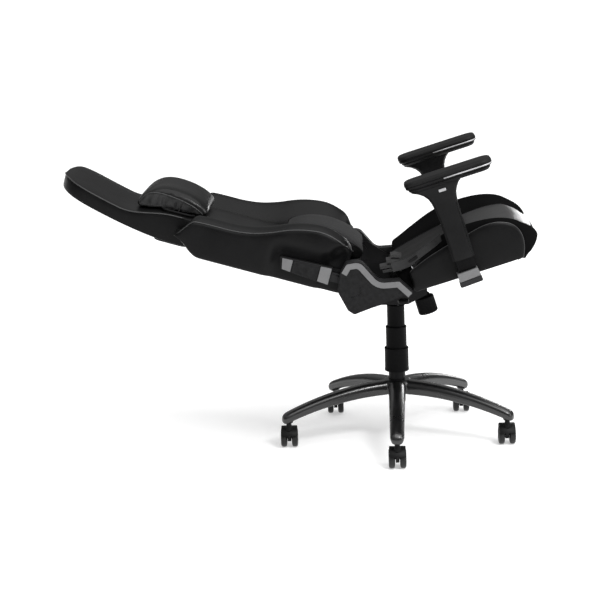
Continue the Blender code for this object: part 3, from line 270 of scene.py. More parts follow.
def cut_away(obj, material, *cutters):
    """Take the cutters out of an object and delete them."""
    for cutter in cutters:
        cut = obj.modifiers.new("cut", "BOOLEAN")
        cut.operation = "DIFFERENCE"
        cut.object = cutter
    apply_modifiers(obj)
    for cutter in cutters:
        bpy.data.objects.remove(cutter, do_unlink=True)
    dress(obj, material)


def loops_to_faces(count, size, caps=True):
    faces = []
    for i in range(count - 1):
        for k in range(size):
            m = (k + 1) % size
            faces.append((i * size + k, i * size + m, (i + 1) * size + m, (i + 1) * size + k))
    if caps:
        faces.append(tuple(range(size)))
        faces.append(tuple((count - 1) * size + k for k in range(size)))
    return faces


def loft(name, loops, material, place, body=None, replaces=(), angle=None, sub=0,
        caps=True):
    """Skin loops of equal count one after another; edges sharper than angle stay sharp."""
    verts = [point for loop in loops for point in loop]
    obj = add_piece(name, verts, loops_to_faces(len(loops), len(loops[0]), caps), material, place)
    if sub:
        subdivide(obj, sub)
    if angle:
        sharpen(obj, angle)
    if body:
        settle_on(obj, body, replaces)
    return obj


def lathe(name, profile, material, place, body=None, replaces=(), segments=48, ring=False):
    """Turn a profile of (radius, z) about local Z; ring closes the profile on itself."""
    loops = []
    for radius, z in profile:
        loops.append([Vector((radius * math.cos(math.tau * k / segments),
            radius * math.sin(math.tau * k / segments), z)) for k in range(segments)])
    if ring:
        loops.append(loops[0])
    obj = loft(name, loops, material, place, caps=not ring)
    weld(obj)
    sharpen(obj)
    if body:
        settle_on(obj, body, replaces)
    return obj


def weld(obj, distance=0.00002):
    bm = bmesh.new()
    bm.from_mesh(obj.data)
    bmesh.ops.remove_doubles(bm, verts=bm.verts, dist=distance)
    bmesh.ops.recalc_face_normals(bm, faces=bm.faces)
    bm.to_mesh(obj.data)
    bm.free()


def sharpen(obj, angle=40.0):
    obj.data.shade_smooth()
    obj.data.set_sharp_from_angle(angle=math.radians(angle))


def fillet(corners, steps=5, closed=True):
    """Round each (x, y, radius) corner of an outline with an arc."""
    points = []
    count = len(corners)
    for i, (x, y, radius) in enumerate(corners):
        here = Vector((x, y))
        if radius == 0 or (not closed and i in (0, count - 1)):
            points.append(here)
            continue
        before = (Vector(corners[i - 1][:2]) - here).normalized()
        after = (Vector(corners[(i + 1) % count][:2]) - here).normalized()
        half = before.angle(after) / 2
        reach = radius / math.tan(half)
        middle = here + (before + after).normalized() * radius / math.sin(half)
        start = here + before * reach - middle
        sweep = start.angle_signed(here + after * reach - middle)
        for k in range(steps + 1):
            points.append(middle + Matrix.Rotation(-sweep * k / steps, 2) @ start)
    return points


def plate(name, loops, material, place, body=None, slot=None, edge=0.0015, replaces=()):
    """Skin two outlines as a plate with rounded edges."""
    obj = loft(name, loops, material, place, angle=40)
    if edge:
        round_edges(obj, edge, 3, 50)
    if body:
        settle_on(obj, body, replaces)
    return obj


def side_plate(name, outline, y_low, y_high, *finish, **more):
    """An outline in local x and z as a plate between two y values."""
    loops = [[Vector((p[0], y, p[1])) for p in outline] for y in (y_low, y_high)]
    return plate(name, loops, *finish, **more)


def block(name, low, high, *finish, **more):
    outline = [(low[0], low[2]), (high[0], low[2]), (high[0], high[2]), (low[0], high[2])]
    return side_plate(name, outline, low[1], high[1], *finish, **more)


def smooth_path(points, steps=6, closed=False):
    """A Catmull-Rom curve through the points."""
    points = [Vector(p) for p in points]
    count = len(points)
    path = []
    last = count if closed else count - 1
    for i in range(last):
        if closed:
            a, b, c, d = (points[(i + k) % count] for k in (-1, 0, 1, 2))
        else:
            a, b, c, d = (points[min(max(i + k, 0), count - 1)] for k in (-1, 0, 1, 2))
        for k in range(steps):
            t = k / steps
            path.append(0.5 * ((2 * b) + (c - a) * t + (2 * a - 5 * b + 4 * c - d) * t ** 2
                + (3 * b - 3 * c + d - a) * t ** 3))
    if not closed:
        path.append(points[-1])
    return path


def sweep(name, path, section, material, place, body=None, slot=None, up=(0, 1, 0), replaces=()):
    """Carry a section of (side, up) points along a path; up is the direction the section stands in."""
    path = [Vector(p) for p in path]
    up = Vector(up)
    loops = []
    count = len(path)
    for i, here in enumerate(path):
        along = (path[min(i + 1, count - 1)] - path[max(i - 1, 0)]).normalized()
        side = along.cross(up)
        side = side.normalized() if side.length > 1e-6 else Vector((1, 0, 0))
        rise = side.cross(along).normalized()
        loops.append([here + side * u + rise * v for u, v in section])
    return loft(name, loops, material, place, body, replaces)


def ring_points(radius, sides):
    turns = [math.tau * k / sides for k in range(sides)]
    return [(radius * math.cos(a), radius * math.sin(a)) for a in turns]


def piping(name, path, radius, material, place, body, slot="faux_leather"):
    sweep(name, path, ring_points(radius, 8), material, place, body, slot)


def ease(t):
    t = min(max(t, 0.0), 1.0)
    return t * t * (3 - 2 * t)


def flowing(table, t):
    """Read a value from a curve through (station, value) pairs, with its slope carried on."""
    if t <= table[0][0]:
        return table[0][1]
    if t >= table[-1][0]:
        return table[-1][1]
    i = max(k for k in range(len(table) - 1) if table[k][0] <= t)
    (x0, y0), (x1, y1) = table[i], table[i + 1]
    before = table[i - 1] if i else table[i]
    after = table[i + 2] if i + 2 < len(table) else table[i + 1]
    m0 = (y1 - before[1]) / (x1 - before[0])
    m1 = (after[1] - y0) / (after[0] - x0)
    h = x1 - x0
    u = (t - x0) / h
    return ((2 * u ** 3 - 3 * u ** 2 + 1) * y0 + (u ** 3 - 2 * u ** 2 + u) * h * m0
        + (-2 * u ** 3 + 3 * u ** 2) * y1 + (u ** 3 - u ** 2) * h * m1)


def spaced(low, high, count):
    return [low + (high - low) * k / (count - 1) for k in range(count)]


def mirrored(*shares):
    """Stations from -1 to 1, given the positive ones from the outside in."""
    return [-s for s in shares] + [0.0] + list(reversed(shares))


def side_curve(points):
    """A closed smooth outline through (x, z) points."""
    return smooth_path([(x, 0.0, z) for x, z in points], 3, closed=True)


# ---------------------------------------------------------------- star base

CASTER_COUNT = 5
STEM_PLACES = [Vector((*joint("caster_swivel_%d" % (k + 1))["pos_m"][:2], 0.0))
    for k in range(CASTER_COUNT)]
ARM_REACH = (STEM_PLACES[0] - COLUMN.translation).length
BASE_LOW = span("star_base", COLUMN)[0]
HUB_R = 0.042
ARM_END = ARM_REACH + 0.02
ARM_SECTION = [(0.8, 0.0), (0.83, 0.16), (0.86, 0.3), (0.97, 0.37), (1.0, 0.5), (0.95, 0.7), (0.8, 0.86),
    (0.52, 0.965), (0.18, 1.0)]


def arm_top(radius):
    return 0.18 - 0.62 * radius ** 2


def arm_height(radius):
    return 0.046 - 0.014 * min(radius / ARM_REACH, 1.0)


def arm_half_width(radius):
    return 0.0265 - 0.0055 * min(radius / ARM_REACH, 1.0)


def arm_loop(radius, shrink=1.0):
    """A domed top over a narrower rib, at one distance from the column."""
    half, height = arm_half_width(radius) * shrink, arm_height(radius)
    bottom = arm_top(radius) - height * (0.5 + 0.5 * shrink)
    right = [Vector((radius, u * half, bottom + v * height * shrink)) for u, v in ARM_SECTION]
    left = [Vector((p.x, -p.y, p.z)) for p in reversed(right)]
    return right + left


def make_star_base():
    arm_verts, arm_faces = [], []
    for place in STEM_PLACES:
        angle = math.atan2(*(place - COLUMN.translation).yx)
        turn = Matrix.Rotation(angle, 4, "Z")
        radii = spaced(0.018, ARM_REACH, 14)
        loops = [arm_loop(radius) for radius in radii]
        for share, shrink in ((0.35, 0.97), (0.62, 0.88), (0.84, 0.7), (0.96, 0.44), (1.0, 0.16)):
            loops.append(arm_loop(ARM_REACH + (ARM_END - ARM_REACH) * share, shrink))
        start = len(arm_verts)
        arm_verts += [turn @ p for loop in loops for p in loop]
        arm_faces += [tuple(start + i for i in face) for face in loops_to_faces(len(loops), len(loops[0]))]
    base = add_piece("base_casting", arm_verts, arm_faces, CASTING)
    subdivide(base, 1)
    apply_modifiers(base)
    hub_top = arm_top(HUB_R) + 0.002
    hub = lathe("hub", [(0.0, BASE_LOW.z + 0.085), (HUB_R - 0.004, BASE_LOW.z + 0.085),
        (HUB_R, BASE_LOW.z + 0.089), (HUB_R, hub_top - 0.007), (HUB_R - 0.006, hub_top), (0.0, hub_top)],
        CASTING, ROW)
    bm = bmesh.new()
    bm.from_mesh(base.data)
    bm.from_mesh(hub.data)
    for place in STEM_PLACES:
        radius = (place - COLUMN.translation).length
        low = arm_top(radius) - arm_height(radius) - 0.003
        bmesh.ops.create_cone(bm, cap_ends=True, segments=24, radius1=0.0125, radius2=0.0155, depth=0.022,
            matrix=Matrix.Translation(place - COLUMN.translation + Vector((0, 0, low + 0.011))))
    bm.to_mesh(base.data)
    bm.free()
    bpy.data.objects.remove(hub, do_unlink=True)
    remesh = base.modifiers.new("fuse", "REMESH")
    remesh.mode = "VOXEL"
    remesh.voxel_size = 0.0024
    soften = base.modifiers.new("soften", "SMOOTH")
    soften.iterations = 7
    soften.factor = 0.5
    apply_modifiers(base)
    high = span("gas_cylinder", COLUMN)[1]
    bore = high.x + CLOSE
    cut_away(base, CASTING, lathe("bore", [(0.0, 0.05), (bore, 0.05), (bore, 0.25), (0.0, 0.25)], CASTING,
        ROW))
    sharpen(base, 50)
    base.data.transform(COLUMN)
    settle_on(base, "base", ["star_base"])


# ---------------------------------------------------------------- casters

WHEEL_WIDTH = 0.018
WHEEL_INNER = 0.007
HOOD_HALF = 0.0232


def wheel_profile(radius):
    """From the outer face's hub cap, over the tread, to the inner face."""
    outer = WHEEL_WIDTH
    return [(0.0, outer - 0.0006), (0.005, outer - 0.0008), (0.0062, outer - 0.0022),
        (0.009, outer - 0.003), (0.018, outer - 0.0026), (0.02, outer - 0.0008), (0.0225, outer - 0.0002),
        (radius - 0.0028, outer - 0.001), (radius - 0.0008, outer - 0.0032), (radius, outer - 0.006),
        (radius, 0.0062), (radius - 0.0008, 0.003), (radius - 0.003, 0.001), (0.02, 0.0), (0.0, 0.0)]


def make_caster(number, stem):
    body, wheels_body = "caster_%d" % number, "wheels_%d" % number
    axle = Vector(joint("wheel_spin_%d" % number)["pos_m"])
    place = Matrix.Translation(axle)
    radius = axle.z - 0.00005
    sideways = Matrix.Rotation(math.pi / 2, 4, "Y")
    pair = None
    for sign in (-1, 1):
        turn = place @ Matrix.Translation((sign * WHEEL_INNER, 0, 0)) @ Matrix.Diagonal((sign, 1, 1,
            1)) @ sideways
        wheel = lathe("wheel", wheel_profile(radius), TREAD, turn, segments=40)
        if pair is None:
            pair = wheel
            pair.name = "wheel_pair_%d" % number
        else:
            join(pair, wheel)
    axle_rod = lathe("axle", [(0.0, -WHEEL_INNER - 0.001), (0.004, -WHEEL_INNER - 0.001),
        (0.004, WHEEL_INNER + 0.001), (0.0, WHEEL_INNER + 0.001)], TREAD, place @ sideways, segments=20)
    join(pair, axle_rod)
    sharpen(pair)
    settle_on(pair, wheels_body, ["caster_wheels_%d" % number])

    hood_in = radius + 0.0022
    hood_out = hood_in + 0.0032
    half = HOOD_HALF
    section = [(hood_in, -half), (hood_out - 0.0006, -half), (hood_out, -half + 0.0012),
        (hood_out, half - 0.0012), (hood_out - 0.0006, half), (hood_in, half)]
    loops = []
    for a in spaced(math.radians(18), math.radians(162), 19):
        loops.append([Vector((z, r * math.cos(a), r * math.sin(a))) for r, z in section])
    hood = loft("caster_hood_%d" % number, loops, PLASTIC, place)
    web_outline = fillet([(-0.012, -0.011, 0.008), (0.012, -0.011, 0.008),
        (hood_in * 0.93, hood_in * 0.46, 0.004), (0.014, hood_in + 0.001, 0.004),
        (-0.014, hood_in + 0.001, 0.004), (-hood_in * 0.93, hood_in * 0.46, 0.004)])
    web = loft("web", [[Vector((x, p[0], p[1])) for p in web_outline] for x in (-0.0052, 0.0052)], PLASTIC,
        place)
    boss_top = arm_top(ARM_REACH) - arm_height(ARM_REACH) - 0.0036
    boss_bottom = axle.z + hood_in + 0.0005
    boss = lathe("boss", [(0.0, boss_bottom - 0.006), (0.01, boss_bottom - 0.006), (0.0104, boss_bottom),
        (0.009, boss_bottom + 0.004), (0.0072, boss_top - 0.002), (0.0078, boss_top), (0.0, boss_top)],
        PLASTIC, Matrix.Translation(Vector((stem.x, stem.y, 0.0))), segments=28)
    join(hood, web)
    join(hood, boss)
    sharpen(hood, 35)
    round_edges(hood, 0.0006, 2, 40)
    settle_on(hood, body, ["caster_housing_%d" % number])


def join(target, other):
    """Put another mesh into this one, keeping this one's name and materials."""
    bm = bmesh.new()
    bm.from_mesh(target.data)
    bm.from_mesh(other.data)
    bm.to_mesh(target.data)
    bm.free()
    bpy.data.objects.remove(other, do_unlink=True)
    return target


# ---------------------------------------------------------------- gas lift and mechanism

def make_cover_tube(name, node, body):
    """One stage of the telescopic cover: a thin tube with a rolled foot and a stepped top edge."""
    low, high = span(node, COLUMN)
    outer, bottom, top = high.x, low.z, high.z
    wall = 0.0014
    inner = outer - wall
    profile = [(inner, top - 0.0005), (outer - 0.0014, top), (outer - 0.0005, top - 0.0012),
        (outer - 0.0004, top - 0.004), (outer - 0.001, top - 0.0052), (outer - 0.0008, bottom + 0.01),
        (outer - 0.0004, bottom + 0.0065), (outer, bottom + 0.0045), (outer, bottom + 0.001),
        (outer - 0.0008, bottom), (inner, bottom)]
    tube = lathe(name, profile, TUBE_PLASTIC, COLUMN, segments=56, ring=True)
    if node == "sleeve_upper":
        piston = span("piston_rod", COLUMN)[1].x
        lid = lathe("lid", [(piston + CLOSE, top - 0.0006), (inner + 0.0003, top - 0.0006),
            (inner + 0.0003, top - 0.0025), (piston + CLOSE, top - 0.0025)], TUBE_PLASTIC, COLUMN,
            segments=56, ring=True)
        join(tube, lid)
    sharpen(tube, 35)
    settle_on(tube, body, [node])


def make_knob():
    """The rocking tension knob: fluted grip under a plain collar."""
    low, high = span("tension_knob", SEAT)
    middle = (low + high) / 2
    place = SEAT @ Matrix.Translation((middle.x, middle.y, 0.0))
    outer = (high.x - low.x) / 2
    top, bottom = high.z, low.z
    bolt = (span("tension_bolt", SEAT)[1].x - span("tension_bolt", SEAT)[0].x) / 2 + CLOSE
    flutes, per_flute = 22, 4
    count = flutes * per_flute
    profile = [(bolt, top, 0), (outer * 0.6, top, 0), (outer * 0.66, top - 0.002, 0),
        (outer * 0.68, top - 0.0065, 0), (outer * 0.9, top - 0.0085, 0), (outer, top - 0.0115, 0),
        (outer, top - 0.016, 0), (outer, top - 0.018, 1), (outer, bottom + 0.006, 1),
        (outer, bottom + 0.0045, 0), (outer - 0.0035, bottom + 0.0008, 0), (outer - 0.008, bottom, 0),
        (0.0, bottom, 0)]
    loops = []
    for radius, z, fluted in profile:
        loop = []
        for k in range(count):
            angle = math.tau * k / count
            dip = 0.001 * fluted * (1 - math.cos(math.tau * k / per_flute)) / 2
            loop.append(Vector(((radius - dip) * math.cos(angle), (radius - dip) * math.sin(angle), z)))
        loops.append(loop)
    knob = loft("tension_grip", loops, TUBE_PLASTIC, place, caps=False)
    weld(knob)
    sharpen(knob, 35)
    settle_on(knob, "tension_knob", ["tension_knob"])


def make_height_handle():
    """Rod and paddle of the height lever."""
    low, high = span("height_lever", ROW)
    axis_x, axis_y, axis_z = joint("height_lever_lift")["pos_m"]
    rod_path = smooth_path([(axis_x, axis_y, axis_z), (axis_x, axis_y - 0.045, axis_z),
        (axis_x + 0.001, axis_y - 0.072, axis_z), (axis_x + 0.009, axis_y - 0.1, axis_z + 0.001),
        (axis_x + 0.012, axis_y - 0.132, axis_z + 0.002)])
    sweep("height_lever_rod", rod_path, ring_points(0.0039, 14), STEEL, ROW, "height_lever",
        "black_plastic", (0, 0, 1), ["height_lever"])
    tip, root = low.y + 0.0002, axis_y - 0.118
    outline = fillet([(axis_x + 0.002, root, 0.005), (axis_x + 0.004, tip, 0.009),
        (high.x - 0.0004, tip, 0.009), (high.x - 0.001, root, 0.01)], 6)
    loops = [[Vector((*p, z)) for p in outline] for z in (low.z + 0.0008, high.z - 0.0002)]
    plate("height_lever_paddle", loops, PLASTIC, ROW, "height_lever", "black_plastic", 0.0026)


def make_lift():
    make_cover_tube("cover_tube_lower", "sleeve_lower", "base")
    make_cover_tube("cover_tube_middle", "sleeve_middle", "cover_middle")
    make_cover_tube("cover_tube_upper", "sleeve_upper", "lift")
    make_knob()
    make_height_handle()


# ---------------------------------------------------------------- armrests

ARM_X = 0.185


def pad_outline(length, width, front_radius, rear_radius, middle):
    x0, x1 = middle - length / 2, middle + length / 2
    return fillet([(x0, -width / 2, rear_radius), (x1, -width / 2, front_radius),
        (x1, width / 2, front_radius), (x0, width / 2, rear_radius)], 8)


def shrink_outline(outline, amount):
    """Move an outline inward by an amount, towards its own middle."""
    xs, ys = [p[0] for p in outline], [p[1] for p in outline]
    cx, cy = (min(xs) + max(xs)) / 2, (min(ys) + max(ys)) / 2
    fx = 1 - 2 * amount / (max(xs) - min(xs))
    fy = 1 - 2 * amount / (max(ys) - min(ys))
    return [Vector((cx + (p[0] - cx) * fx, cy + (p[1] - cy) * fy)) for p in outline]


def inset_loops(outline, rows, middle_y):
    """The outline at each (inset, z) of the rows."""
    loops = []
    for inset, z in rows:
        loops.append([Vector((p[0], p[1] + middle_y, z)) for p in shrink_outline(outline, inset)])
    return loops


def make_armrest_pad(side):
    low, high = span("armrest_pad_" + side, SEAT)
    length, width = high.x - low.x, high.y - low.y
    middle_x, middle_y = (low.x + high.x) / 2, (low.y + high.y) / 2
    outline = pad_outline(length, width, 0.03, 0.028, middle_x)
    foot, top = low.z, high.z
    seam = foot + 0.0095
    upper = [(0.0045, seam), (0.0006, seam + 0.0007), (0.0, seam + 0.003), (0.0006, seam + 0.0062),
        (0.0026, top - 0.0035), (0.0065, top - 0.0012), (0.013, top - 0.0003), (0.022, top),
        (0.034, top + 0.0002)]
    pad = "armrest_pad_" + side
    loft("armrest_top_" + side, inset_loops(outline, upper, middle_y), PAD_SKIN, SEAT, pad,
        [pad], 60)
    lower = [(0.0062, seam - 0.0003), (0.0022, seam - 0.0006), (0.0016, seam - 0.0016),
        (0.0018, foot + 0.003), (0.0042, foot + 0.0006), (0.0065, foot), (0.012, foot)]
    loft("armrest_rim_" + side, inset_loops(outline, lower, middle_y), PLASTIC, SEAT, pad,
        angle=30)
    # A bright trim strip in the pad's groove, laid only round the front half where the light falls: partly trim,
    # partly a painted highlight.
    front = [p for p in outline if p[0] > middle_x - 0.01]
    front = sorted(front, key=lambda p: math.atan2(p[1], p[0] - middle_x))
    reach = width / 2 * 0.972
    path = [Vector((middle_x + d, middle_y - reach, foot + 0.0058)) for d in (-0.015, 0.02, 0.05)]
    path += [Vector((p[0] - (p[0] - middle_x) * 0.01, middle_y + p[1] * 0.972, foot + 0.0058))
        for p in front]
    path += [Vector((middle_x + d, middle_y + reach, foot + 0.0058)) for d in (0.05, 0.02, -0.015)]
    section = [(-0.0014, -0.0016), (0.0014, -0.0016), (0.0014, 0.0016), (-0.0014, 0.0016)]
    sweep("armrest_strip_" + side, path, section, POLISHED_TRIM_AND_GLINT, SEAT, pad, "silver", (0, 0, 1))

    low, high = span("armrest_pad_base_" + side, SEAT)
    plate_outline = pad_outline(high.x - low.x, high.y - low.y, 0.024, 0.024, (low.x + high.x) / 2)
    rows = [(0.01, high.z), (0.0005, high.z), (0.0, high.z - 0.001), (0.0, high.z - 0.004),
        (0.0045, low.z + 0.001), (0.006, low.z), (0.014, low.z)]
    loft("armrest_plate_" + side, inset_loops(plate_outline, rows, middle_y), PLASTIC, SEAT,
        "armrest_turn_" + side, ["armrest_pad_base_" + side], 30)


def make_armrest_column(side):
    """The faceted case round the post, flaring into the neck under the pad."""
    sign = SIDES[side]
    low, high = span("armrest_sleeve_" + side, SEAT)
    middle_y = sign * (abs(low.y) + abs(high.y)) / 2
    bottom, top = low.z, high.z
    base_of_neck = top - 0.046
    half_x, half_y = 0.03, 0.017
    neck = base_of_neck - bottom
    reach = top - bottom
    stations = [(0.0, 0.0, 0.0, 0.0), (0.004, 0.0008, 0.0008, 0.0008), (0.06, 0.001, 0.001, 0.0),
        (neck - 0.05, 0.003, 0.001, 0.0), (neck - 0.018, 0.006, 0.001, 0.0), (neck, 0.009, 0.003, 0.0005),
        (neck + 0.014, 0.014, 0.006, 0.002), (neck + 0.026, 0.023, 0.012, 0.0045),
        (neck + 0.036, 0.036, 0.019, 0.0085), (reach - 0.003, 0.051, 0.027, 0.012),
        (reach - CLOSE / 2, 0.053, 0.029, 0.012)]
    post = span("armrest_post_" + side, SEAT)
    loops = []
    for rise, rear, front, sides in stations:
        x0, x1 = ARM_X - half_x - rear, ARM_X + half_x + front
        y1 = half_y + sides
        ridge = ARM_X - 0.006 - rear * 0.35 + front * 0.1
        outline = [(x0, 0.35 * y1), (x0 + 0.006, 0.74 * y1), (ridge - 0.001, y1), (ridge + 0.0015, y1),
            (x1 - 0.01, 0.8 * y1), (x1 - 0.003, 0.6 * y1), (x1, 0.3 * y1), (x1, -0.55 * y1),
            (x1 - 0.006, -0.95 * y1), (x0 + 0.008, -0.95 * y1), (x0, -0.55 * y1)]
        loops.append([Vector((x, middle_y + sign * y, bottom + rise)) for x, y in outline])
    case = loft("armrest_case_" + side, loops, PLASTIC, SEAT)
    room = block("room", (post[0].x - CLOSE, post[0].y - CLOSE, bottom - 0.01),
        (post[1].x + CLOSE, post[1].y + CLOSE, base_of_neck - 0.008), PLASTIC, SEAT, None, edge=0)
    cut_away(case, PLASTIC, room)
    sharpen(case, 24)
    round_edges(case, 0.0012, 2, 24)
    settle_on(case, "armrest_" + side, ["armrest_sleeve_" + side])
    low, high = span("armrest_button_" + side, SEAT)
    block("armrest_key_" + side, (low.x, low.y, low.z), (high.x, high.y, high.z), POLISHED_TRIM_AND_GLINT, SEAT,
        "armrest_button_" + side, "silver", 0.0012, ["armrest_button_" + side])


def make_armrest_foot(side):
    """The brushed bracket that holds the post, in two stepped bands."""
    sign = SIDES[side]
    low, high = span("armrest_bracket_" + side, SEAT)
    outer = inner_outer("armrest_bracket_", side)[1]
    wide_low = abs(outer) - 0.0385
    y0, y1 = sorted((sign * wide_low, outer))
    x0, x1 = low.x + 0.001, high.x - 0.001
    cup = fillet([(x0 + 0.001, low.z + 0.015, 0.003), (x1 - 0.001, low.z + 0.019, 0.003),
        (x1 - 0.0045, high.z, 0.002), (x0 + 0.001, high.z - 0.002, 0.002)], 4)
    side_plate("armrest_cup_" + side, cup, y0, y1, SILVER, SEAT, "seat", "silver", 0.0022,
        ["armrest_bracket_" + side])
    sole = fillet([(x0 - 0.001, low.z, 0.005), (x1 + 0.001, low.z + 0.003, 0.005),
        (x1 - 0.0005, low.z + 0.0182, 0.001), (x0 + 0.0005, low.z + 0.0142, 0.001)], 4)
    side_plate("armrest_sole_" + side, sole, y0 - 0.0002, y1 + 0.0002, STEEL, SEAT, "seat", "silver",
        0.0015)
    bar_low, bar_high = sorted((sign * 0.1, sign * (wide_low + 0.001)))
    block("armrest_bar_" + side, (low.x + 0.006, bar_low, low.z + 0.0042),
        (high.x - 0.012, bar_high, low.z + 0.009), STEEL, SEAT, "seat", "silver", 0.0015)


# ---------------------------------------------------------------- recliner covers and lever

PIVOT = SEAT.inverted() @ Vector(joint("backrest_recline")["pos_m"])


def cover_crest():
    """The cover's wavy top edge, from its rear end to its front tail."""
    px, pz = PIVOT.x, PIVOT.z
    return [(px - 0.038, pz + 0.056, 0.004), (px - 0.016, pz + 0.076, 0.014), (px + 0.024, pz + 0.07, 0.03),
        (px + 0.056, pz - 0.002, 0.032), (px + 0.111, pz - 0.015, 0.003), (px + 0.136, pz - 0.058, 0.002)]


def offset_corners(corners, distance):
    """Move an open run of (x, y, radius) corners sideways, to the right of its direction."""
    moved = []
    for i, (x, y, radius) in enumerate(corners):
        here = Vector((x, y))
        before = here - Vector(corners[max(i - 1, 0)][:2])
        after = Vector(corners[min(i + 1, len(corners) - 1)][:2]) - here
        before = (before if before.length else after).normalized()
        after = (after if after.length else before).normalized()
        right = Vector((before.y + after.y, -before.x - after.x)).normalized()
        reach = distance / max(0.5, right.dot(Vector((after.y, -after.x))))
        turns_left = before.x * after.y - before.y * after.x > 0
        radius = radius + distance if turns_left else max(0.002, radius - distance)
        moved.append((*(here + right * reach), radius))
    return moved


def make_hinge_cover(side):
    sign = SIDES[side]
    inner, outer = inner_outer("hinge_cover_", side)
    px, pz = PIVOT.x, PIVOT.z
    outline = fillet(cover_crest() + [(px - 0.038, pz - 0.069, 0.01), (px - 0.051, pz - 0.052, 0.01),
        (px - 0.062, pz + 0.006, 0.02)], 8)
    shell = side_plate("recliner_shell_" + side, outline, *sorted((inner, outer)), COVER_PLASTIC, SEAT,
        edge=0)
    room = lathe("room", [(0.0, -0.012), (0.034, -0.012), (0.034, 0.028), (0.0, 0.028)], COVER_PLASTIC,
        SEAT @ Matrix.Translation((px, inner, pz)) @ Matrix.Rotation(-sign * math.pi / 2, 4, "X"))
    slot = block("slot", (px - 0.02, min(inner - sign * 0.01, inner + sign * 0.028), pz - 0.052),
        (px + 0.05, max(inner - sign * 0.01, inner + sign * 0.028), pz - 0.02), COVER_PLASTIC, SEAT, None,
        edge=0)
    cut_away(shell, COVER_PLASTIC, room, slot)
    sharpen(shell, 40)
    round_edges(shell, 0.0032, 4, 60)
    settle_on(shell, "seat", ["hinge_cover_" + side])

    face = outer + sign * 0.0001
    rim = [Vector((p[0], face, p[1])) for p in fillet([(px - 0.036, pz - 0.02, 0.002),
        (px - 0.002, pz - 0.02, 0.003), (px + 0.001, pz - 0.004, 0.002), (px + 0.001, pz + 0.006, 0.001)],
        4, closed=False)]
    piping("recliner_groove_" + side, rim, 0.0005, PLASTIC, SEAT, "seat", "cover_plastic")

    accent_low, accent_high = span("hinge_accent_" + side, SEAT)
    y0, y1 = accent_low.y, accent_high.y
    upper = fillet(offset_corners(cover_crest(), 0.0035), 8, closed=False)
    lower = fillet(offset_corners(cover_crest(), 0.0195), 8, closed=False)
    strip = side_plate("recliner_accent_" + side, upper + list(reversed(lower)), y0, y1, SILVER, SEAT,
        edge=0.0004)
    settle_on(strip, "seat", ["hinge_accent_" + side])


TONGUE_INNER, TONGUE_OUTER = -0.2515, -0.2545
HANDLE_INNER = -0.262
HANDLE_FOOT = 0.084
TONGUE_HALF = 0.0135
LEVER_PIN = 0.0065


def make_recline_handle():
    """Tapered handle beside the backrest, with two brushed blocks set into its outer face."""
    low, high = span("recline_lever", BACK)
    outer, inner = low.y, HANDLE_INNER
    bottom, top = HANDLE_FOOT, high.z
    outline = fillet([(-0.0215, bottom + 0.0005, 0.004), (0.0305, bottom + 0.0005, 0.004),
        (0.0235, top - 0.0005, 0.005), (-0.0095, top - 0.0125, 0.005)], 6)
    side_plate("recline_handle", outline, outer + 0.0022, inner, PLASTIC, BACK, "recline_lever",
        "black_plastic", 0.003, ["recline_lever"])
    half = TONGUE_HALF
    tongue = fillet([(-half, -half, 0.013), (half, -half, 0.013), (half, 0.0995, 0.004),
        (-half, 0.0995, 0.004)], 8)
    arm = side_plate("recline_tongue", tongue, TONGUE_OUTER, TONGUE_INNER, STEEL, BACK, edge=0)
    bore = lathe("bore", [(0.0, -0.3), (LEVER_PIN, -0.3), (LEVER_PIN, -0.2), (0.0, -0.2)], STEEL,
        BACK @ Matrix.Rotation(math.pi / 2, 4, "X") @ Matrix.Diagonal((1, 1, -1, 1)))
    cut_away(arm, STEEL, bore)
    settle_on(arm, "recline_lever")
    block("recline_bridge", (-0.009, inner - 0.002, bottom + 0.002), (0.009, -0.254, bottom + 0.013), STEEL,
        BACK, "recline_lever", "black_plastic", 0.001)
    for number, (start, stop) in enumerate(((bottom + 0.003, bottom + 0.034),
            (bottom + 0.113, top - 0.01))):
        def edge(z, offset):
            share = (z - bottom) / (top - bottom)
            return (-0.0205 + 0.011 * share + offset, 0.0292 - 0.0068 * share - offset)
        f0, f1 = edge(start, 0.0016)
        g0, g1 = edge(stop, 0.0016)
        shape = fillet([(f0, start, 0.0015), (f1, start, 0.0015), (g1, stop, 0.0015),
            (g0, stop - (0.006 if number else 0.0), 0.0015)], 3)
        side_plate("recline_block_%d" % (number + 1), shape, outer + 0.0004, outer + 0.003, SILVER, BACK,
            "recline_lever", "silver", 0.0006)
    grip = fillet([(-0.015, bottom + 0.038, 0.003), (0.025, bottom + 0.038, 0.003),
        (0.0215, bottom + 0.109, 0.003), (-0.0115, bottom + 0.109, 0.003)], 4)
    side_plate("recline_grip", grip, outer + 0.0014, outer + 0.003, COVER_PLASTIC, BACK, "recline_lever",
        "black_plastic", 0.0008)


# ---------------------------------------------------------------- seat upholstery

SEAT_LOW, SEAT_HIGH = span("seat_cushion", SEAT)
CUSHION_HALF = SEAT_HIGH.y
PANEL_HALF = CUSHION_HALF - 0.004


def seat_profile():
    """The cushion's side outline, from its rear foot over the top and nose to the underside."""
    return [(SEAT_LOW.x + 0.004, 0.05), (SEAT_LOW.x + 0.001, 0.068), (SEAT_LOW.x + 0.01, 0.086),
        (0.04, 0.103), (0.1, 0.116), (0.17, 0.129), (0.23, 0.1355), (0.285, 0.137), (0.325, 0.133),
        (0.353, 0.125), (0.378, 0.108), (0.396, 0.088), (0.404, 0.068), (0.402, 0.048), (0.391, 0.027),
        (0.374, 0.011), (0.358, 0.003), (0.348, 0.005), (0.343, 0.015), (0.343, 0.03), (0.34, 0.0435),
        (0.3, 0.0455), (0.15, 0.046), (0.02, 0.046)]


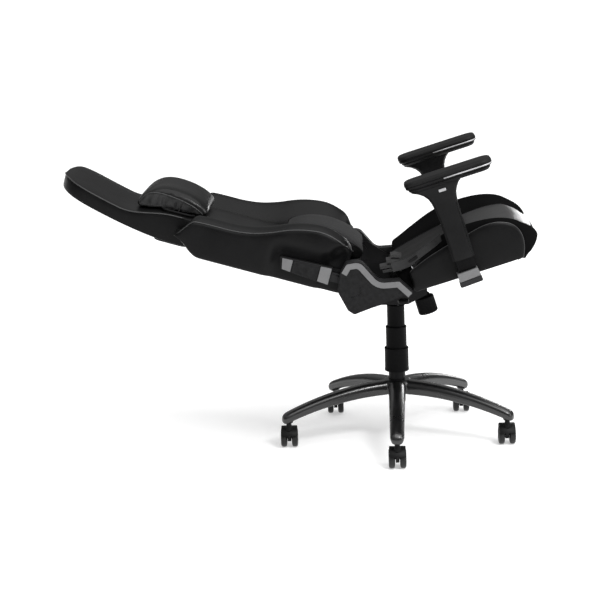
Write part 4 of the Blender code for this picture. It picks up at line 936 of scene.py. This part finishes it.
def make_seat_cushion():
    """Glossy centre panel that runs over the nose, crowned, with rolled edges and a cross seam; the front of its
    top is coloured lighter as a painted highlight.
    """
    outline = side_curve(seat_profile())
    middle = Vector((0.19, 0.0, 0.075))
    loops = []
    for share in mirrored(1.0, 0.985, 0.95, 0.88, 0.76, 0.6, 0.4, 0.2):
        side = abs(share)
        pull = 0.0085 * max(0.0, (side - 0.9) / 0.1) ** 2
        crown = 0.0045 * (1 - side ** 2.2)
        loop = []
        for p in outline:
            out = (p - middle)
            out = Vector((out.x * 0.5, 0.0, out.z)).normalized()
            top_share = ease((p.z - 0.05) / 0.05) if p.x < 0.36 else 1.0
            q = p + out * ((crown - 0.0045) * top_share - pull)
            groove = 0.0026 * math.exp(-((p.x - 0.39) / 0.003) ** 2) * (1 if p.z > 0.06 else 0)
            q = q - Vector((0.6, 0.0, 0.8)) * groove
            q.x -= 0.01 * side ** 3 * ease((q.x - 0.34) / 0.05)
            q.y = share * PANEL_HALF
            loop.append(q)
        loops.append(loop)
    cushion = loft("seat_panel", loops, GLOSS_LEATHER_PAINTED_HIGHLIGHT, SEAT)
    dress(cushion, GLOSS_LEATHER_PAINTED_HIGHLIGHT, DARK_CLOTH, LEATHER)
    turn = SEAT.inverted()
    # Painted highlight: the front of the top takes the lightened smooth leather. The rear of the top stays black
    # leather, and the nose's underside, the lower part and the side edges are dark gusset cloth.
    for face in cushion.data.polygons:
        place = turn @ face.center
        if place.z < 0.079 and place.x > 0.2 or place.z < 0.075 or abs(place.y) > PANEL_HALF - 0.0005:
            face.material_index = 1
        elif place.x < 0.196:
            face.material_index = 2
    subdivide(cushion, 1)
    settle_on(cushion, "seat", ["seat_cushion"])
    top_line = [p for p in outline if p.z > 0.06 and p.x > SEAT_LOW.x + 0.006]
    for side, sign in SIDES.items():
        seam = [SEAT @ Vector((p.x, sign * (PANEL_HALF - 0.007), p.z)) for p in top_line]
        piping("seat_panel_piping_" + side, snap(seam, cushion, 0.0004), 0.0017, LEATHER, ROW, "seat")


CREST = [(-0.04, 0.094), (0.048, 0.124), (0.139, 0.156), (0.217, 0.165), (0.289, 0.16), (0.34, 0.144),
    (0.368, 0.122), (0.388, 0.103), (0.397, 0.09), (0.402, 0.076)]
SIDE_FOOT = [(-0.04, 0.029), (0.33, 0.029), (0.362, 0.033), (0.382, 0.046), (0.396, 0.06), (0.402, 0.072)]


def make_bolster(side):
    """One side of the seat: a dark gusset that wraps the nose, and a piped outer panel."""
    sign = SIDES[side]
    low, high = span("seat_bolster_" + side, SEAT)
    inner = min(abs(low.y), abs(high.y))
    loops = []
    for x in spaced(low.x, 0.35, 20) + [0.358, 0.366, 0.374, 0.382, 0.388, 0.393, 0.397, 0.4, 0.402]:
        crest, foot = flowing(CREST, x), flowing(SIDE_FOOT, x)
        nose = max(0.0, (x - 0.345) / 0.057)
        outer = 0.249 + 0.0125 * ease((x - 0.026) / 0.024) - 0.046 * nose ** 2.4
        rise = crest - foot
        level = min(0.134, foot + rise * 0.8)
        points = [(inner + 0.004, foot + rise * 0.1), (inner + 0.02, foot + rise * 0.01),
            ((inner + outer) / 2, foot), (outer - 0.016, foot + rise * 0.005),
            (outer - 0.005, foot + rise * 0.03), (outer - 0.0005, foot + rise * 0.12),
            (outer, foot + rise * 0.45), (outer - 0.0005, foot + rise * 0.72),
            (outer - 0.003, foot + rise * 0.87), (outer - 0.0085, foot + rise * 0.96),
            (outer - 0.017, crest), (outer - 0.027, crest - 0.0015),
            (outer - 0.045, level + (crest - level) * 0.62), (inner + 0.022,
            level + (crest - level) * 0.18), (inner + 0.006, level - rise * 0.04),
            (inner + 0.0012, foot + rise * 0.55), (inner + 0.0012, foot + rise * 0.3)]
        loops.append([Vector((x, sign * y, z)) for y, z in points])
    loft("seat_side_" + side, loops, DARK_CLOTH, SEAT, "seat", ["seat_bolster_" + side],
        sub=2)

    edge = smooth_path([(x, 0.0, z) for x, z in ((0.03, 0.031), (0.03, 0.06), (0.032, 0.086), (0.06, 0.099),
        (0.1, 0.113), (0.152, 0.1265), (0.205, 0.137), (0.247, 0.1465), (0.275, 0.149), (0.305, 0.1455),
        (0.335, 0.132), (0.351, 0.113), (0.3575, 0.088), (0.3545, 0.06), (0.346, 0.038), (0.336, 0.03),
        (0.28, 0.0285), (0.16, 0.0285), (0.06, 0.029))], 4, closed=True)
    flat = [Vector((p.x, p.z)) for p in edge]
    rows = [(0.004, 0.256), (0.0, 0.2595), (0.0, 0.2625), (0.0012, 0.2648), (0.0045, 0.2664),
        (0.012, 0.2674), (0.024, 0.268), (0.038, 0.2682)]
    loops = []
    for inset, y in rows:
        loops.append([Vector((p.x, sign * y, p.y)) for p in shrink_outline(flat, inset)])
    loft("seat_side_panel_" + side, loops, LEATHER, SEAT, "seat", angle=70)
    seam = [Vector((p.x, sign * 0.2628, p.z)) for p in edge[8:62]]
    # Piping in lightened leather: a painted highlight along the panel's edge.
    piping("seat_side_piping_" + side, seam, 0.0014, PIPING_PAINTED_HIGHLIGHT, SEAT, "seat")


# ---------------------------------------------------------------- backrest upholstery

BACK_HIGH = span("backrest_front_pad", BACK)[1]
REAR_LOW = span("backrest_rear_pad", BACK)[0]
HEAD_OVERHANG = 0.013
HEAD_START = 0.55             # the head section leans forward above this height
TIP_CURVE = 0.12
BACK_LENGTH = BACK_HIGH.z + HEAD_OVERHANG
BODY_FACE, HEAD_FACE = 0.042, 0.004
HOLE_ACROSS, HOLE_UP = 0.12, 0.546
HOLE_WIDTH, HOLE_HEIGHT = 0.048, 0.088


def head_lean(z):
    share = max(0.0, (z - HEAD_START) / (BACK_LENGTH - HEAD_START))
    return 0.068 * share ** 1.5


def back_face(z):
    curl = max(0.0, (z - (BACK_LENGTH - 0.03)) / 0.03)
    face = BODY_FACE + (HEAD_FACE - BODY_FACE) * ease((z - HEAD_START) / 0.16)
    return face + head_lean(z) - 0.009 * curl ** 2.2


def back_half_width(z):
    width = 0.162 + 0.003 * ease((z - 0.4) / 0.15)
    share = max(0.0, (z - (BACK_LENGTH - TIP_CURVE)) / TIP_CURVE)
    return width * (1 - min(share, 0.985) ** 3.2) ** (1 / 2.6)


def back_rear(z):
    return REAR_LOW.x + head_lean(z)


def front_edge(z):
    """Where the front panel meets the side band."""
    return back_face(z) - 0.003


def back_stations():
    low = spaced(0.002, 0.74, 42)
    from_tip = (0.135, 0.118, 0.102, 0.087, 0.073, 0.06, 0.048, 0.037, 0.028, 0.02, 0.013, 0.008, 0.0042,
        0.0015, 0.0)
    return low + [BACK_LENGTH - d for d in from_tip]


def make_back_skin():
    """The backrest and head in one skin: crowned front panel, flat side band and a softly rounded rear."""
    loops = []
    shares = mirrored(1.0, 0.985, 0.93, 0.8, 0.62, 0.45, 0.3, 0.15)
    for z in back_stations():
        half = back_half_width(z) - 0.0008
        face, rear = back_face(z), back_rear(z)
        end = min(1.0, (BACK_LENGTH - z) / 0.06)
        crown = 0.0075 * math.sqrt(max(0.0, end)) + 0.0015
        flutes = ease((z - 0.05) / 0.05) * ease((0.5 - z) / 0.04)
        front = []
        for share in shares:
            lift = crown * (1 - abs(share) ** 2.6) - 0.0035
            seam = 0.004 * math.exp(-((abs(share) * half - 0.098) / 0.0035) ** 2) * flutes
            channels = flutes * ease((0.09 - abs(share) * half) / 0.02)
            roll = 0.003 * math.cos(math.tau * z / 0.0925) * channels
            edge = 0.003 * max(0.0, (abs(share) - 0.93) / 0.07) ** 2
            front.append(Vector((face + lift - seam - roll * 0.6 - edge, share * half, z)))
        back = []
        for share in reversed(shares):
            round_off = 0.004 * max(0.0, (abs(share) - 0.62) / 0.38) ** 2.5
            back.append(Vector((rear + 0.0006 + round_off, share * half, z)))
        side_steps = (0.3, 0.62)
        right = [Vector((face - 0.0065 + (rear + 0.0166 - face + 0.0065) * s, half + 0.0012, z))
            for s in side_steps]
        left = [Vector((p.x, -p.y, z)) for p in reversed(right)]
        loops.append(front + right + back + left)
    skin = loft("backrest_skin", loops, LEATHER, BACK)
    subdivide(skin, 1)
    apply_modifiers(skin)
    for sign in (-1, 1):
        hole = hole_outline(0.0012)
        cutter = loft("hole", [[Vector((x, sign * HOLE_ACROSS + p[0], HOLE_UP + p[1])) for p in hole]
            for x in (-0.2, 0.2)], LEATHER, BACK)
        cut_away(skin, LEATHER, cutter)
    sharpen(skin, 38)
    settle_on(skin, "backrest", ["backrest_front_pad", "backrest_rear_pad"])

    ring = []
    for z in [z for z in back_stations() if z > 0.515]:
        ring.append(Vector((front_edge(z) - 0.0018, -back_half_width(z) + 0.0006, z)))
    other = [Vector((p.x, -p.y, p.z)) for p in reversed(ring)]
    top = BACK_LENGTH - 0.0012
    arch = [Vector((front_edge(top) - 0.0015, y, top)) for y in spaced(ring[-1].y * 0.75,
        -ring[-1].y * 0.75, 5)]
    # Lightened piping round the head: a painted highlight along its edge.
    piping("head_piping", smooth_path(ring + arch + other, 2), 0.0017, PIPING_PAINTED_HIGHLIGHT, BACK, "backrest")


def hole_outline(margin, steps=7):
    half_x, half_z = HOLE_WIDTH / 2 + margin, HOLE_HEIGHT / 2 + margin
    radius = HOLE_WIDTH * 0.36 + margin
    return fillet([(-half_x, -half_z, radius), (half_x, -half_z, radius), (half_x, half_z, radius),
        (-half_x, half_z, radius)], steps)


def make_harness_trim(side):
    """Bezel of a harness hole: an inner wall with a rounded lip on both faces."""
    sign = SIDES[side]
    rear = back_rear(HOLE_UP) - 0.0016
    face = back_face(HOLE_UP) + 0.0068
    rows = [(-0.0035, rear + 0.004), (-0.0033, rear + 0.0012), (-0.0015, rear), (0.003, rear + 0.0004),
        (0.0052, rear + 0.002), (0.005, rear + 0.004), (0.0008, rear + 0.0052), (0.0008, face - 0.0052),
        (0.005, face - 0.004), (0.0052, face - 0.002), (0.003, face - 0.0004), (-0.0015, face),
        (-0.0033, face - 0.0012), (-0.0035, face - 0.004)]
    loops = [[Vector((x, sign * HOLE_ACROSS + p[0], HOLE_UP + p[1])) for p in hole_outline(margin)]
        for margin, x in rows]
    loops.append(loops[0])
    trim = loft("harness_trim_" + side, loops, PLASTIC, BACK, caps=False)
    weld(trim)
    sharpen(trim, 50)
    settle_on(trim, "backrest", ["harness_bezel_" + side])


WING_EDGE = [(0.027, 0.071), (0.049, 0.087), (0.083, 0.104), (0.13, 0.116), (0.177, 0.113), (0.228, 0.1),
    (0.277, 0.08), (0.328, 0.0645), (0.381, 0.058), (0.435, 0.0575), (0.48, 0.056), (0.494, 0.052),
    (0.508, 0.035), (0.522, 0.016), (0.532, 0.006), (0.538, 0.004)]


def wing_rear(z):
    return REAR_LOW.x - 0.003 + 0.048 * ease((z - 0.455) / 0.085)


def wing_outer(z, x):
    """How far out the wing stands: drawn in behind the recline lever and the recliner cover."""
    foot = 0.2375
    beside_lever = 0.2545
    full = 0.27
    low_part = foot + (beside_lever - foot) * ease((z - 0.1) / 0.024)
    low_part += (full - beside_lever) * ease((z - 0.243) / 0.026)
    reach = math.hypot(x, z)
    lobe = ease((x - 0.036) / 0.03) * ease((reach - 0.1) / 0.022)
    return low_part + (full - low_part) * lobe


def make_wing(side):
    """A side wing: wide outer panel with a piped ridge, sloping in to the backrest."""
    sign = SIDES[side]
    low, high = span("back_wing_" + side, BACK)
    top = high.z
    inner = min(abs(low.y), abs(high.y))
    loops, ridge_line = [], []
    stations = spaced(low.z, 0.476, 38) + [0.484, 0.49, 0.494, 0.499, 0.505, 0.512, 0.519, 0.526, 0.532,
        0.536, top]
    for z in stations:
        edge = flowing(WING_EDGE, z)
        rear = wing_rear(z)
        tuck = 0.014 * max(0.0, (z - (top - 0.02)) / 0.02) ** 2.2 + 0.012 * max(0.0,
            (low.z + 0.02 - z) / 0.02) ** 2
        height = edge - rear
        outer_side = []
        for share in (0.1, 0.22, 0.34, 0.46, 0.58, 0.7, 0.8, 0.88):
            x = rear + height * share
            bulge = 0.002 * math.sin(math.pi * share)
            outer_side.append((x, wing_outer(z, x) + bulge - tuck - 0.0018))
        top_y = wing_outer(z, edge) - tuck
        points = [(rear + 0.006, inner + 0.002), (rear + 0.0005, inner + 0.014),
            (rear + 0.0002, (inner + outer_side[0][1]) / 2), (rear + 0.0008, outer_side[0][1] - 0.014),
            (rear + 0.005, outer_side[0][1] - 0.0035)]
        points += outer_side
        rise = 0.015 * ease((z - low.z) / 0.03) * (1 - ease((z - 0.478) / 0.03))
        points += [(edge - 0.006, top_y - 0.003), (edge - 0.001, top_y - 0.007),
            (edge + rise * 0.45, top_y - 0.016), (edge + rise * 0.9, top_y - 0.028),
            (edge + rise, top_y - 0.038), (edge + rise * 0.5, top_y - 0.05),
            (rear + height * 0.86, inner + 0.028), (rear + height * 0.72, inner + 0.011),
            (rear + height * 0.6, inner + 0.004), (rear + height * 0.42, inner + 0.0012)]
        loops.append([Vector((x, sign * y, z)) for x, y in points])
        if z < 0.5305:
            ridge_line.append(Vector((edge - 0.002, sign * (top_y - 0.005), z)))
    loft("back_side_" + side, loops, LEATHER, BACK, "backrest", ["back_wing_" + side],
        sub=1)
    # Lightened piping on the ridge: a painted highlight along the wing's crest.
    piping("back_side_piping_" + side, smooth_path(ridge_line, 3), 0.0016, PIPING_PAINTED_HIGHLIGHT, BACK, "backrest")


# ---------------------------------------------------------------- loose cushions

def puff(obj, voxel=0.005, pressure=4.0, cap=0.012, frames=20, hold=None):
    """Blow a closed mesh up as cloth and keep the result; hold(point) says which points stay put."""
    remesh = obj.modifiers.new("remesh", "REMESH")
    remesh.mode = "VOXEL"
    remesh.voxel_size = voxel
    apply_modifiers(obj)
    start = [v.co.copy() for v in obj.data.vertices]
    if hold:
        group = obj.vertex_groups.new(name="held")
        kept = [v.index for v in obj.data.vertices if hold(v.co)]
        group.add(kept, 1.0, "REPLACE")
    cloth = obj.modifiers.new("cloth", "CLOTH")
    cloth.settings.quality = 6
    cloth.settings.mass = 0.25
    cloth.settings.tension_stiffness = 18
    cloth.settings.compression_stiffness = 18
    cloth.settings.shear_stiffness = 8
    cloth.settings.bending_stiffness = 0.8
    cloth.settings.use_pressure = True
    cloth.settings.uniform_pressure_force = pressure
    cloth.settings.effector_weights.gravity = 0.0
    cloth.collision_settings.use_collision = False
    cloth.collision_settings.use_self_collision = False
    if hold:
        cloth.settings.vertex_group_mass = "held"
    scene = bpy.context.scene
    for number in range(1, frames + 1):
        scene.frame_set(number)
    graph = bpy.context.evaluated_depsgraph_get()
    moved = obj.evaluated_get(graph).data
    ends = [v.co.copy() for v in moved.vertices]
    obj.modifiers.clear()
    for vertex, a, b in zip(obj.data.vertices, start, ends):
        step = b - a
        if step.length > cap:
            step = step.normalized() * cap
        vertex.co = a + step
    scene.frame_set(1)
    return obj


def snap(points, obj, lift):
    """Lay points on an object's surface, raised by lift along its normal."""
    graph = bpy.context.evaluated_depsgraph_get()
    tree = BVHTree.FromObject(obj, graph)
    laid = []
    for point in points:
        place, normal, _, _ = tree.find_nearest(point)
        laid.append(place + normal * lift)
    return laid


PILLOW_LOW, PILLOW_HIGH = span("head_pillow", BACK)


# The head pillow from the side, (up, out) of the backrest: its outline and the seam of its end panel.
PILLOW_OUTLINE = [(0.4675, 0.0545), (0.4625, 0.0655), (0.4655, 0.077), (0.4785, 0.089), (0.5065, 0.1005),
    (0.5435, 0.108), (0.5835, 0.1095), (0.6165, 0.103), (0.6425, 0.086), (0.6585, 0.066), (0.667, 0.0495),
    (0.6665, 0.039), (0.6585, 0.034), (0.6285, 0.0375), (0.5935, 0.044), (0.5485, 0.048), (0.5085, 0.05),
    (0.4785, 0.0515)]
PILLOW_SEAM = [(0.4765, 0.055), (0.4865, 0.061), (0.5055, 0.0695), (0.5285, 0.0755), (0.5525, 0.08),
    (0.5965, 0.084), (0.6235, 0.0815), (0.6415, 0.0745), (0.6545, 0.061), (0.6625, 0.045)]


def lay_piping(name, line, obj, *finish):
    """Piping along points of the BACK frame, laid on an object's surface."""
    piping(name, snap([BACK @ p for p in smooth_path(line, 4)], obj, 0.0006), *finish)


def make_head_pillow():
    """A rolled pillow: smooth top with a piped seam at each end and a gathered end panel."""
    outline = side_curve([(x, z) for z, x in PILLOW_OUTLINE])
    half = PILLOW_HIGH.y
    seam_y = half - 0.004
    loops = []

    def end_scale(p):
        """Where a point of the top lies on the end panel's seam arc."""
        return min(p.x, flowing(PILLOW_SEAM, p.z))

    for share in mirrored(1.0, 0.97, 0.9, 0.8, 0.66, 0.5, 0.33, 0.16):
        side = abs(share)
        drop = 1 - math.sqrt(max(0.0, 1 - max(0.0, (side - 0.45) / 0.55) ** 2.6))
        swell = 0.0015 * (1 - side ** 2)
        loop = []
        for p in outline:
            x = p.x + (end_scale(p) - p.x) * drop + swell * (p.x > 0.07)
            z = p.z + (PILLOW_LOW.z + 0.102 - p.z) * 0.03 * drop
            loop.append(Vector((x, share * seam_y, z)))
        loops.append(loop)
    pillow = loft("pillow_body", loops, LEATHER, BACK)
    foot_plane = 0.052
    turn = BACK.inverted()
    puff(pillow, 0.005, 3.0, 0.007, 20, lambda co: (turn @ co).x < foot_plane)
    shrink_folds(pillow, half)
    subdivide(pillow, 1)
    dress(pillow, PILLOW_SKIN, PAINTED_HIGHLIGHT_LEATHER)
    # Painted highlight: the end panels under the seam arcs take the lightened leather.
    for face in pillow.data.polygons:
        place = turn @ face.center
        if abs((turn.to_3x3()
                @ face.normal).y) > 0.72 and abs(place.y) > half - 0.02 and place.x < flowing(PILLOW_SEAM,
                place.z) + 0.001:
            face.material_index = 1
    pillow.data.shade_smooth()
    settle_on(pillow, "head_pillow", ["head_pillow"])
    for side, sign in SIDES.items():
        arc = [Vector((x, sign * (seam_y - 0.001), z)) for z, x in PILLOW_SEAM]
        # Lightened piping on the end seams: a painted highlight.
        lay_piping("pillow_piping_" + side, arc, pillow, 0.0016, PIPING_PAINTED_HIGHLIGHT, ROW, "head_pillow")


def shrink_folds(pillow, half):
    """Soft gathers down each end panel of the pillow."""
    turn = BACK.inverted()
    for vertex in pillow.data.vertices:
        p = turn @ vertex.co
        side = ease((abs(p.y) - (half - 0.016)) / 0.01)
        high = ease((p.x - 0.044) / 0.012) * ease((flowing(PILLOW_SEAM, p.z) - 0.001 - p.x) / 0.012)
        wave = 0.0
        for middle, width, deep in ((0.59, 0.006, 1.0), (0.612, 0.005, 0.7), (0.636, 0.006, 0.9),
                (0.55, 0.007, 0.8), (0.505, 0.008, 0.6)):
            lean = middle + (p.x - 0.05) * 0.15
            wave += deep * math.exp(-((p.z - lean) / width) ** 2)
        p.y -= math.copysign(0.0055 * wave * side * high, p.y)
        limit = half + 0.003
        p.y = max(-limit, min(limit, p.y))
        vertex.co = BACK @ p


LUMBAR_LOW, LUMBAR_HIGH = span("lumbar_cushion", BACK)


def lumbar_outline():
    """Side view of the lumbar cushion, (up, out): thin at its top end, full and rounded at its foot."""
    foot = LUMBAR_LOW.x + 0.001
    low, high = LUMBAR_LOW.z, LUMBAR_HIGH.z
    return [(low + 0.01, foot + 0.001), (low - 0.002, foot + 0.006), (low - 0.008, foot + 0.016),
        (low - 0.006, 0.074), (low + 0.004, 0.084), (low + 0.022, 0.092), (low + 0.048, 0.1),
        (low + 0.078, 0.1065), (low + 0.108, 0.109), (low + 0.14, 0.1065), (low + 0.17, 0.099),
        (high - 0.03, 0.089), (high - 0.012, 0.077), (high - 0.001, 0.062), (high - 0.006, foot + 0.003),
        (high - 0.04, foot), (high - 0.1, foot), (low + 0.06, foot)]


def make_lumbar_cushion():
    """Brushed top panel over a dark side band, with piping between them."""
    outline = side_curve([(x, z) for z, x in lumbar_outline()])
    half = LUMBAR_HIGH.y - 0.003
    loops = []
    for share in mirrored(1.0, 0.97, 0.9, 0.78, 0.6, 0.4, 0.2):
        side = abs(share)
        drop = 0.012 * max(0.0, (side - 0.6) / 0.4) ** 3
        loop = []
        for p in outline:
            high = ease((p.x - LUMBAR_LOW.x - 0.02) / 0.03)
            loop.append(Vector((p.x - drop * high, share * half, p.z
                + drop * 0.3 * (1 if p.z < 0.06 else -0.3))))
        loops.append(loop)
    cushion = loft("lumbar_body", loops, SUEDE, BACK)
    turn = BACK.inverted()
    puff(cushion, 0.005, 3.0, 0.006, 20, lambda co: (turn @ co).x < LUMBAR_LOW.x + 0.006)
    dress(cushion, SUEDE, DARK_CLOTH)
    for face in cushion.data.polygons:
        middle = turn @ face.center
        if abs(middle.y) > half - 0.009:
            face.material_index = 1
    subdivide(cushion, 1)
    cushion.data.shade_smooth()
    settle_on(cushion, "lumbar_cushion", ["lumbar_cushion"])
    for side, sign in SIDES.items():
        line = [Vector((x - 0.004, sign * (half - 0.006), z + (0.004 if z < 0.05 else 0.0))) for z,
            x in lumbar_outline()[1:14]]
        lay_piping("lumbar_piping_" + side, line, cushion, 0.0017, LEATHER, ROW, "lumbar_cushion")


# ---------------------------------------------------------------- straps and flaps

def ribbon(name, path, width, thick, material, place, body, across=(0, 1, 0)):
    """A flat strap along a path, its width running across."""
    across = Vector(across).normalized()
    path = smooth_path(path, 5)
    loops = []
    count = len(path)
    for i, here in enumerate(path):
        ahead = (path[min(i + 1, count - 1)] - path[max(i - 1, 0)]).normalized()
        rise = across.cross(ahead).normalized()
        half_w, half_t = width / 2, thick / 2
        steps = spaced(-half_w, half_w, 5)
        section = [(u, -half_t) for u in steps] + [(u, half_t) for u in reversed(steps)]
        loops.append([here + across * u + rise * v for u, v in section])
    strap = loft(name, loops, material, place, body, angle=50)


def make_pillow_straps():
    """Two elastic straps from the pillow's ends through the harness holes."""
    foot = PILLOW_LOW.x + 0.012
    middle_z = HOLE_UP
    face, rear = back_face(middle_z), back_rear(middle_z)
    for side, sign in SIDES.items():
        y = sign * (HOLE_ACROSS + 0.001)
        path = [(foot + 0.004, y, middle_z - 0.004), (face + 0.011, y, middle_z - 0.001),
            (face - 0.004, y, middle_z), ((face + rear) / 2, y, middle_z), (rear + 0.01, y, middle_z)]
        ribbon("pillow_strap_" + side, path, 0.022, 0.0014, WEBBING, BACK, "backrest")


def make_folded_flap(side):
    """The gusset flap tucked between the recliner cover and the armrest, with its buckle and elastic."""
    sign = SIDES[side]
    y = sign * 0.226
    layers = ((0.103, -0.04, 0.012, 0.0085), (0.115, -0.044, 0.006, 0.008), (0.127, -0.022, 0.014, 0.0085),
        (0.1385, -0.006, 0.022, 0.007))
    # The folds and the strap below are in lightened leather as a painted highlight.
    for number, (n, start, stop, thick) in enumerate(layers):
        path = [(start, y, n + 0.006), ((start + stop) / 2, y, n + 0.003), (stop, y, n - 0.004)]
        ribbon("gusset_fold_%s_%d" % (side, number + 1), path, 0.046, thick, PAINTED_HIGHLIGHT_LEATHER, SEAT, "seat")
    lean = (0.0, -sign * 0.45, 0.89)
    outer = sign * 0.2555
    ribbon("gusset_strap_" + side, [(-0.012, outer, 0.113), (0.024, outer, 0.112), (0.052, outer, 0.117)],
        0.026, 0.005, PAINTED_HIGHLIGHT_LEATHER, SEAT, "seat", across=lean)
    ribbon("gusset_elastic_" + side, [(0.046, outer, 0.116), (0.086, outer, 0.13), (0.118, outer, 0.142),
        (0.142, outer - sign * 0.004, 0.152)], 0.02, 0.0032, WEBBING, SEAT, "seat", across=lean)
    turned = SEAT @ Matrix.Translation((0.056, outer, 0.11)) @ Matrix.Rotation(math.radians(-18), 4, "Y")
    block("gusset_buckle_" + side, (-0.016, -0.0042, -0.014), (0.012, 0.0042, 0.014), PLASTIC, turned,
        "seat", "black_plastic", 0.0018)
    # A bright tick on the buckle edge: a painted glint.
    block("gusset_glint_" + side, (-0.019, -0.0048, -0.0145), (-0.0165, 0.0048, -0.004), POLISHED_TRIM_AND_GLINT, turned,
        "seat", "silver", 0.0005)


GUSSET_HALF = 0.138
GUSSET_THICK = 0.0024


def make_rear_gusset():
    """Fabric that closes the gap between the seat cushion's rear edge and the backrest's foot."""
    turn = SEAT.inverted() @ BACK
    start = Vector((SEAT_LOW.x + 0.01, 0.0, 0.062))
    end = turn @ Vector((0.004, 0.0, 0.01))
    rows = []
    for share in spaced(0.0, 1.0, 9):
        p = start.lerp(end, share)
        p.z -= 0.01 * math.sin(math.pi * share)
        rows.append(p)
    loops = []
    count = len(rows)
    for i, p in enumerate(rows):
        ahead = (rows[min(i + 1, count - 1)] - rows[max(i - 1, 0)]).normalized()
        rise = Vector((0, 1, 0)).cross(ahead).normalized()
        ys = spaced(-GUSSET_HALF, GUSSET_HALF, 15)
        edge = rise * GUSSET_THICK / 2
        loops.append([p + Vector((0, y, 0)) - edge for y in ys] + [p + Vector((0, y, 0)) + edge
            for y in reversed(ys)])
    gusset = loft("rear_gusset", loops, DARK_CLOTH, SEAT, angle=60)
    return gusset, SEAT @ start, SEAT @ end


# ---------------------------------------------------------------- remaining CAD nodes

def finish_cad():
    """Give every CAD node that stays visible its material and soft shading, welded and split at sharp edges."""
    slots = {part["node"]: part["material_slot"] for part in frame["record"]["subparts"]}
    for name, obj in frame["nodes"].items():
        dress(obj, CAD_FINISH[slots[name]])
        obj.data.shade_smooth()
        seam = obj.modifiers.new("weld", "WELD")
        seam.merge_threshold = 0.00002
        split = obj.modifiers.new("split", "EDGE_SPLIT")
        split.split_angle = math.radians(32)


# ---------------------------------------------------------------- room, lights and camera

def area_light(name, place, target, size, power, colour=(1, 1, 1)):
    light = bpy.data.lights.new(name, "AREA")
    light.shape = "RECTANGLE"
    light.size, light.size_y = size
    light.energy = power
    light.color = colour
    obj = bpy.data.objects.new(name, light)
    bpy.context.scene.collection.objects.link(obj)
    obj.location = place
    obj.rotation_euler = (Vector(target) - Vector(place)).to_track_quat("-Z", "Y").to_euler()
    return obj


FLOOR_SIZE = 500.0
FLOOR_GLOW = 0.42
FLOOR_DROP = 0.0002           # the floor lies this far under the wheels


def make_floor():
    size, steps = FLOOR_SIZE, 6
    verts, faces = [], []
    for i in range(steps + 1):
        for k in range(steps + 1):
            verts.append((-size / 2 + size * i / steps, -size / 2 + size * k / steps, -FLOOR_DROP))
    for i in range(steps):
        for k in range(steps):
            a = i * (steps + 1) + k
            faces.append((a, a + steps + 1, a + steps + 2, a + 1))
    shader = FLOOR.node_tree.nodes["Principled BSDF"]
    shader.inputs["Emission Color"].default_value = (1.0, 1.0, 1.0, 1.0)
    shader.inputs["Emission Strength"].default_value = FLOOR_GLOW
    floor = add_piece("studio_floor", verts, faces, FLOOR)


def make_lights():
    world = bpy.data.worlds.new("studio")
    bpy.context.scene.world = world
    world.use_nodes = True
    tree = world.node_tree
    back = tree.nodes["Background"]
    place = tree.nodes.new("ShaderNodeTexCoord")
    split = tree.nodes.new("ShaderNodeSeparateXYZ")
    rise = tree.nodes.new("ShaderNodeMapRange")
    rise.inputs["From Min"].default_value = 0.15
    rise.inputs["From Max"].default_value = 0.9
    rise.inputs["To Min"].default_value = 0.1
    rise.inputs["To Max"].default_value = 0.85
    link(tree, place, "Generated", split, "Vector")
    link(tree, split, "Z", rise, "Value")
    tree.links.new(rise.outputs["Result"], back.inputs["Color"])
    back.inputs["Strength"].default_value = 1.0
    sky = bpy.data.lights.new("sky", "SUN")
    sky.energy = 2.0
    sky.angle = math.radians(60)
    overhead = bpy.data.objects.new("sky", sky)
    bpy.context.scene.collection.objects.link(overhead)
    overhead.rotation_euler = (math.radians(16), math.radians(14), 0.0)
    area_light("key", (1.5, -2.4, 3.0), (0.1, 0.0, 0.6), (0.7, 0.7), 60)
    area_light("side", (3.3, -1.6, 1.5), (0.25, 0.0, 0.6), (0.5, 1.4), 34)
    rim = area_light("rim", (1.75, 3.2, 0.95), (0.55, 0.0, 0.65), (1.1, 0.45), 14)
    rim.visible_camera = False
    bpy.context.scene.view_settings.view_transform = "Standard"


CAMERA_PLACE = (0.1532, -4.9861, 1.4217)
CAMERA_LENS = 103.62          # in mm, on a 36 mm frame


def make_camera():
    yaw, pitch, roll = 0.0339, 0.1974, -0.0314
    ahead = Vector((-math.sin(yaw) * math.cos(pitch), math.cos(yaw) * math.cos(pitch), -math.sin(pitch)))
    right = Vector((math.cos(yaw), math.sin(yaw), 0.0))
    up = right.cross(ahead)
    side = right * math.cos(roll) + up * math.sin(roll)
    rise = up * math.cos(roll) - right * math.sin(roll)
    camera = bpy.data.cameras.new("camera")
    camera.sensor_width = 36.0
    camera.lens = CAMERA_LENS
    camera.clip_end = 200.0
    obj = bpy.data.objects.new("camera", camera)
    bpy.context.scene.collection.objects.link(obj)
    obj.matrix_world = Matrix.Translation(CAMERA_PLACE) @ Matrix((side, rise, -ahead)).transposed().to_4x4()
    bpy.context.scene.camera = obj


# ---------------------------------------------------------------- the chair

make_star_base()
for caster_number, stem_place in enumerate(STEM_PLACES):
    make_caster(caster_number + 1, stem_place)
make_lift()
for chair_side in SIDES:
    make_armrest_pad(chair_side)
    make_armrest_column(chair_side)
    make_armrest_foot(chair_side)
    make_hinge_cover(chair_side)
    make_bolster(chair_side)
    make_wing(chair_side)
    make_harness_trim(chair_side)
make_folded_flap("right")
make_recline_handle()
make_seat_cushion()
make_back_skin()
make_head_pillow()
make_lumbar_cushion()
make_pillow_straps()
GUSSET, GUSSET_START, GUSSET_END = make_rear_gusset()
finish_cad()
make_floor()
make_lights()
make_camera()
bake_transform(GUSSET)
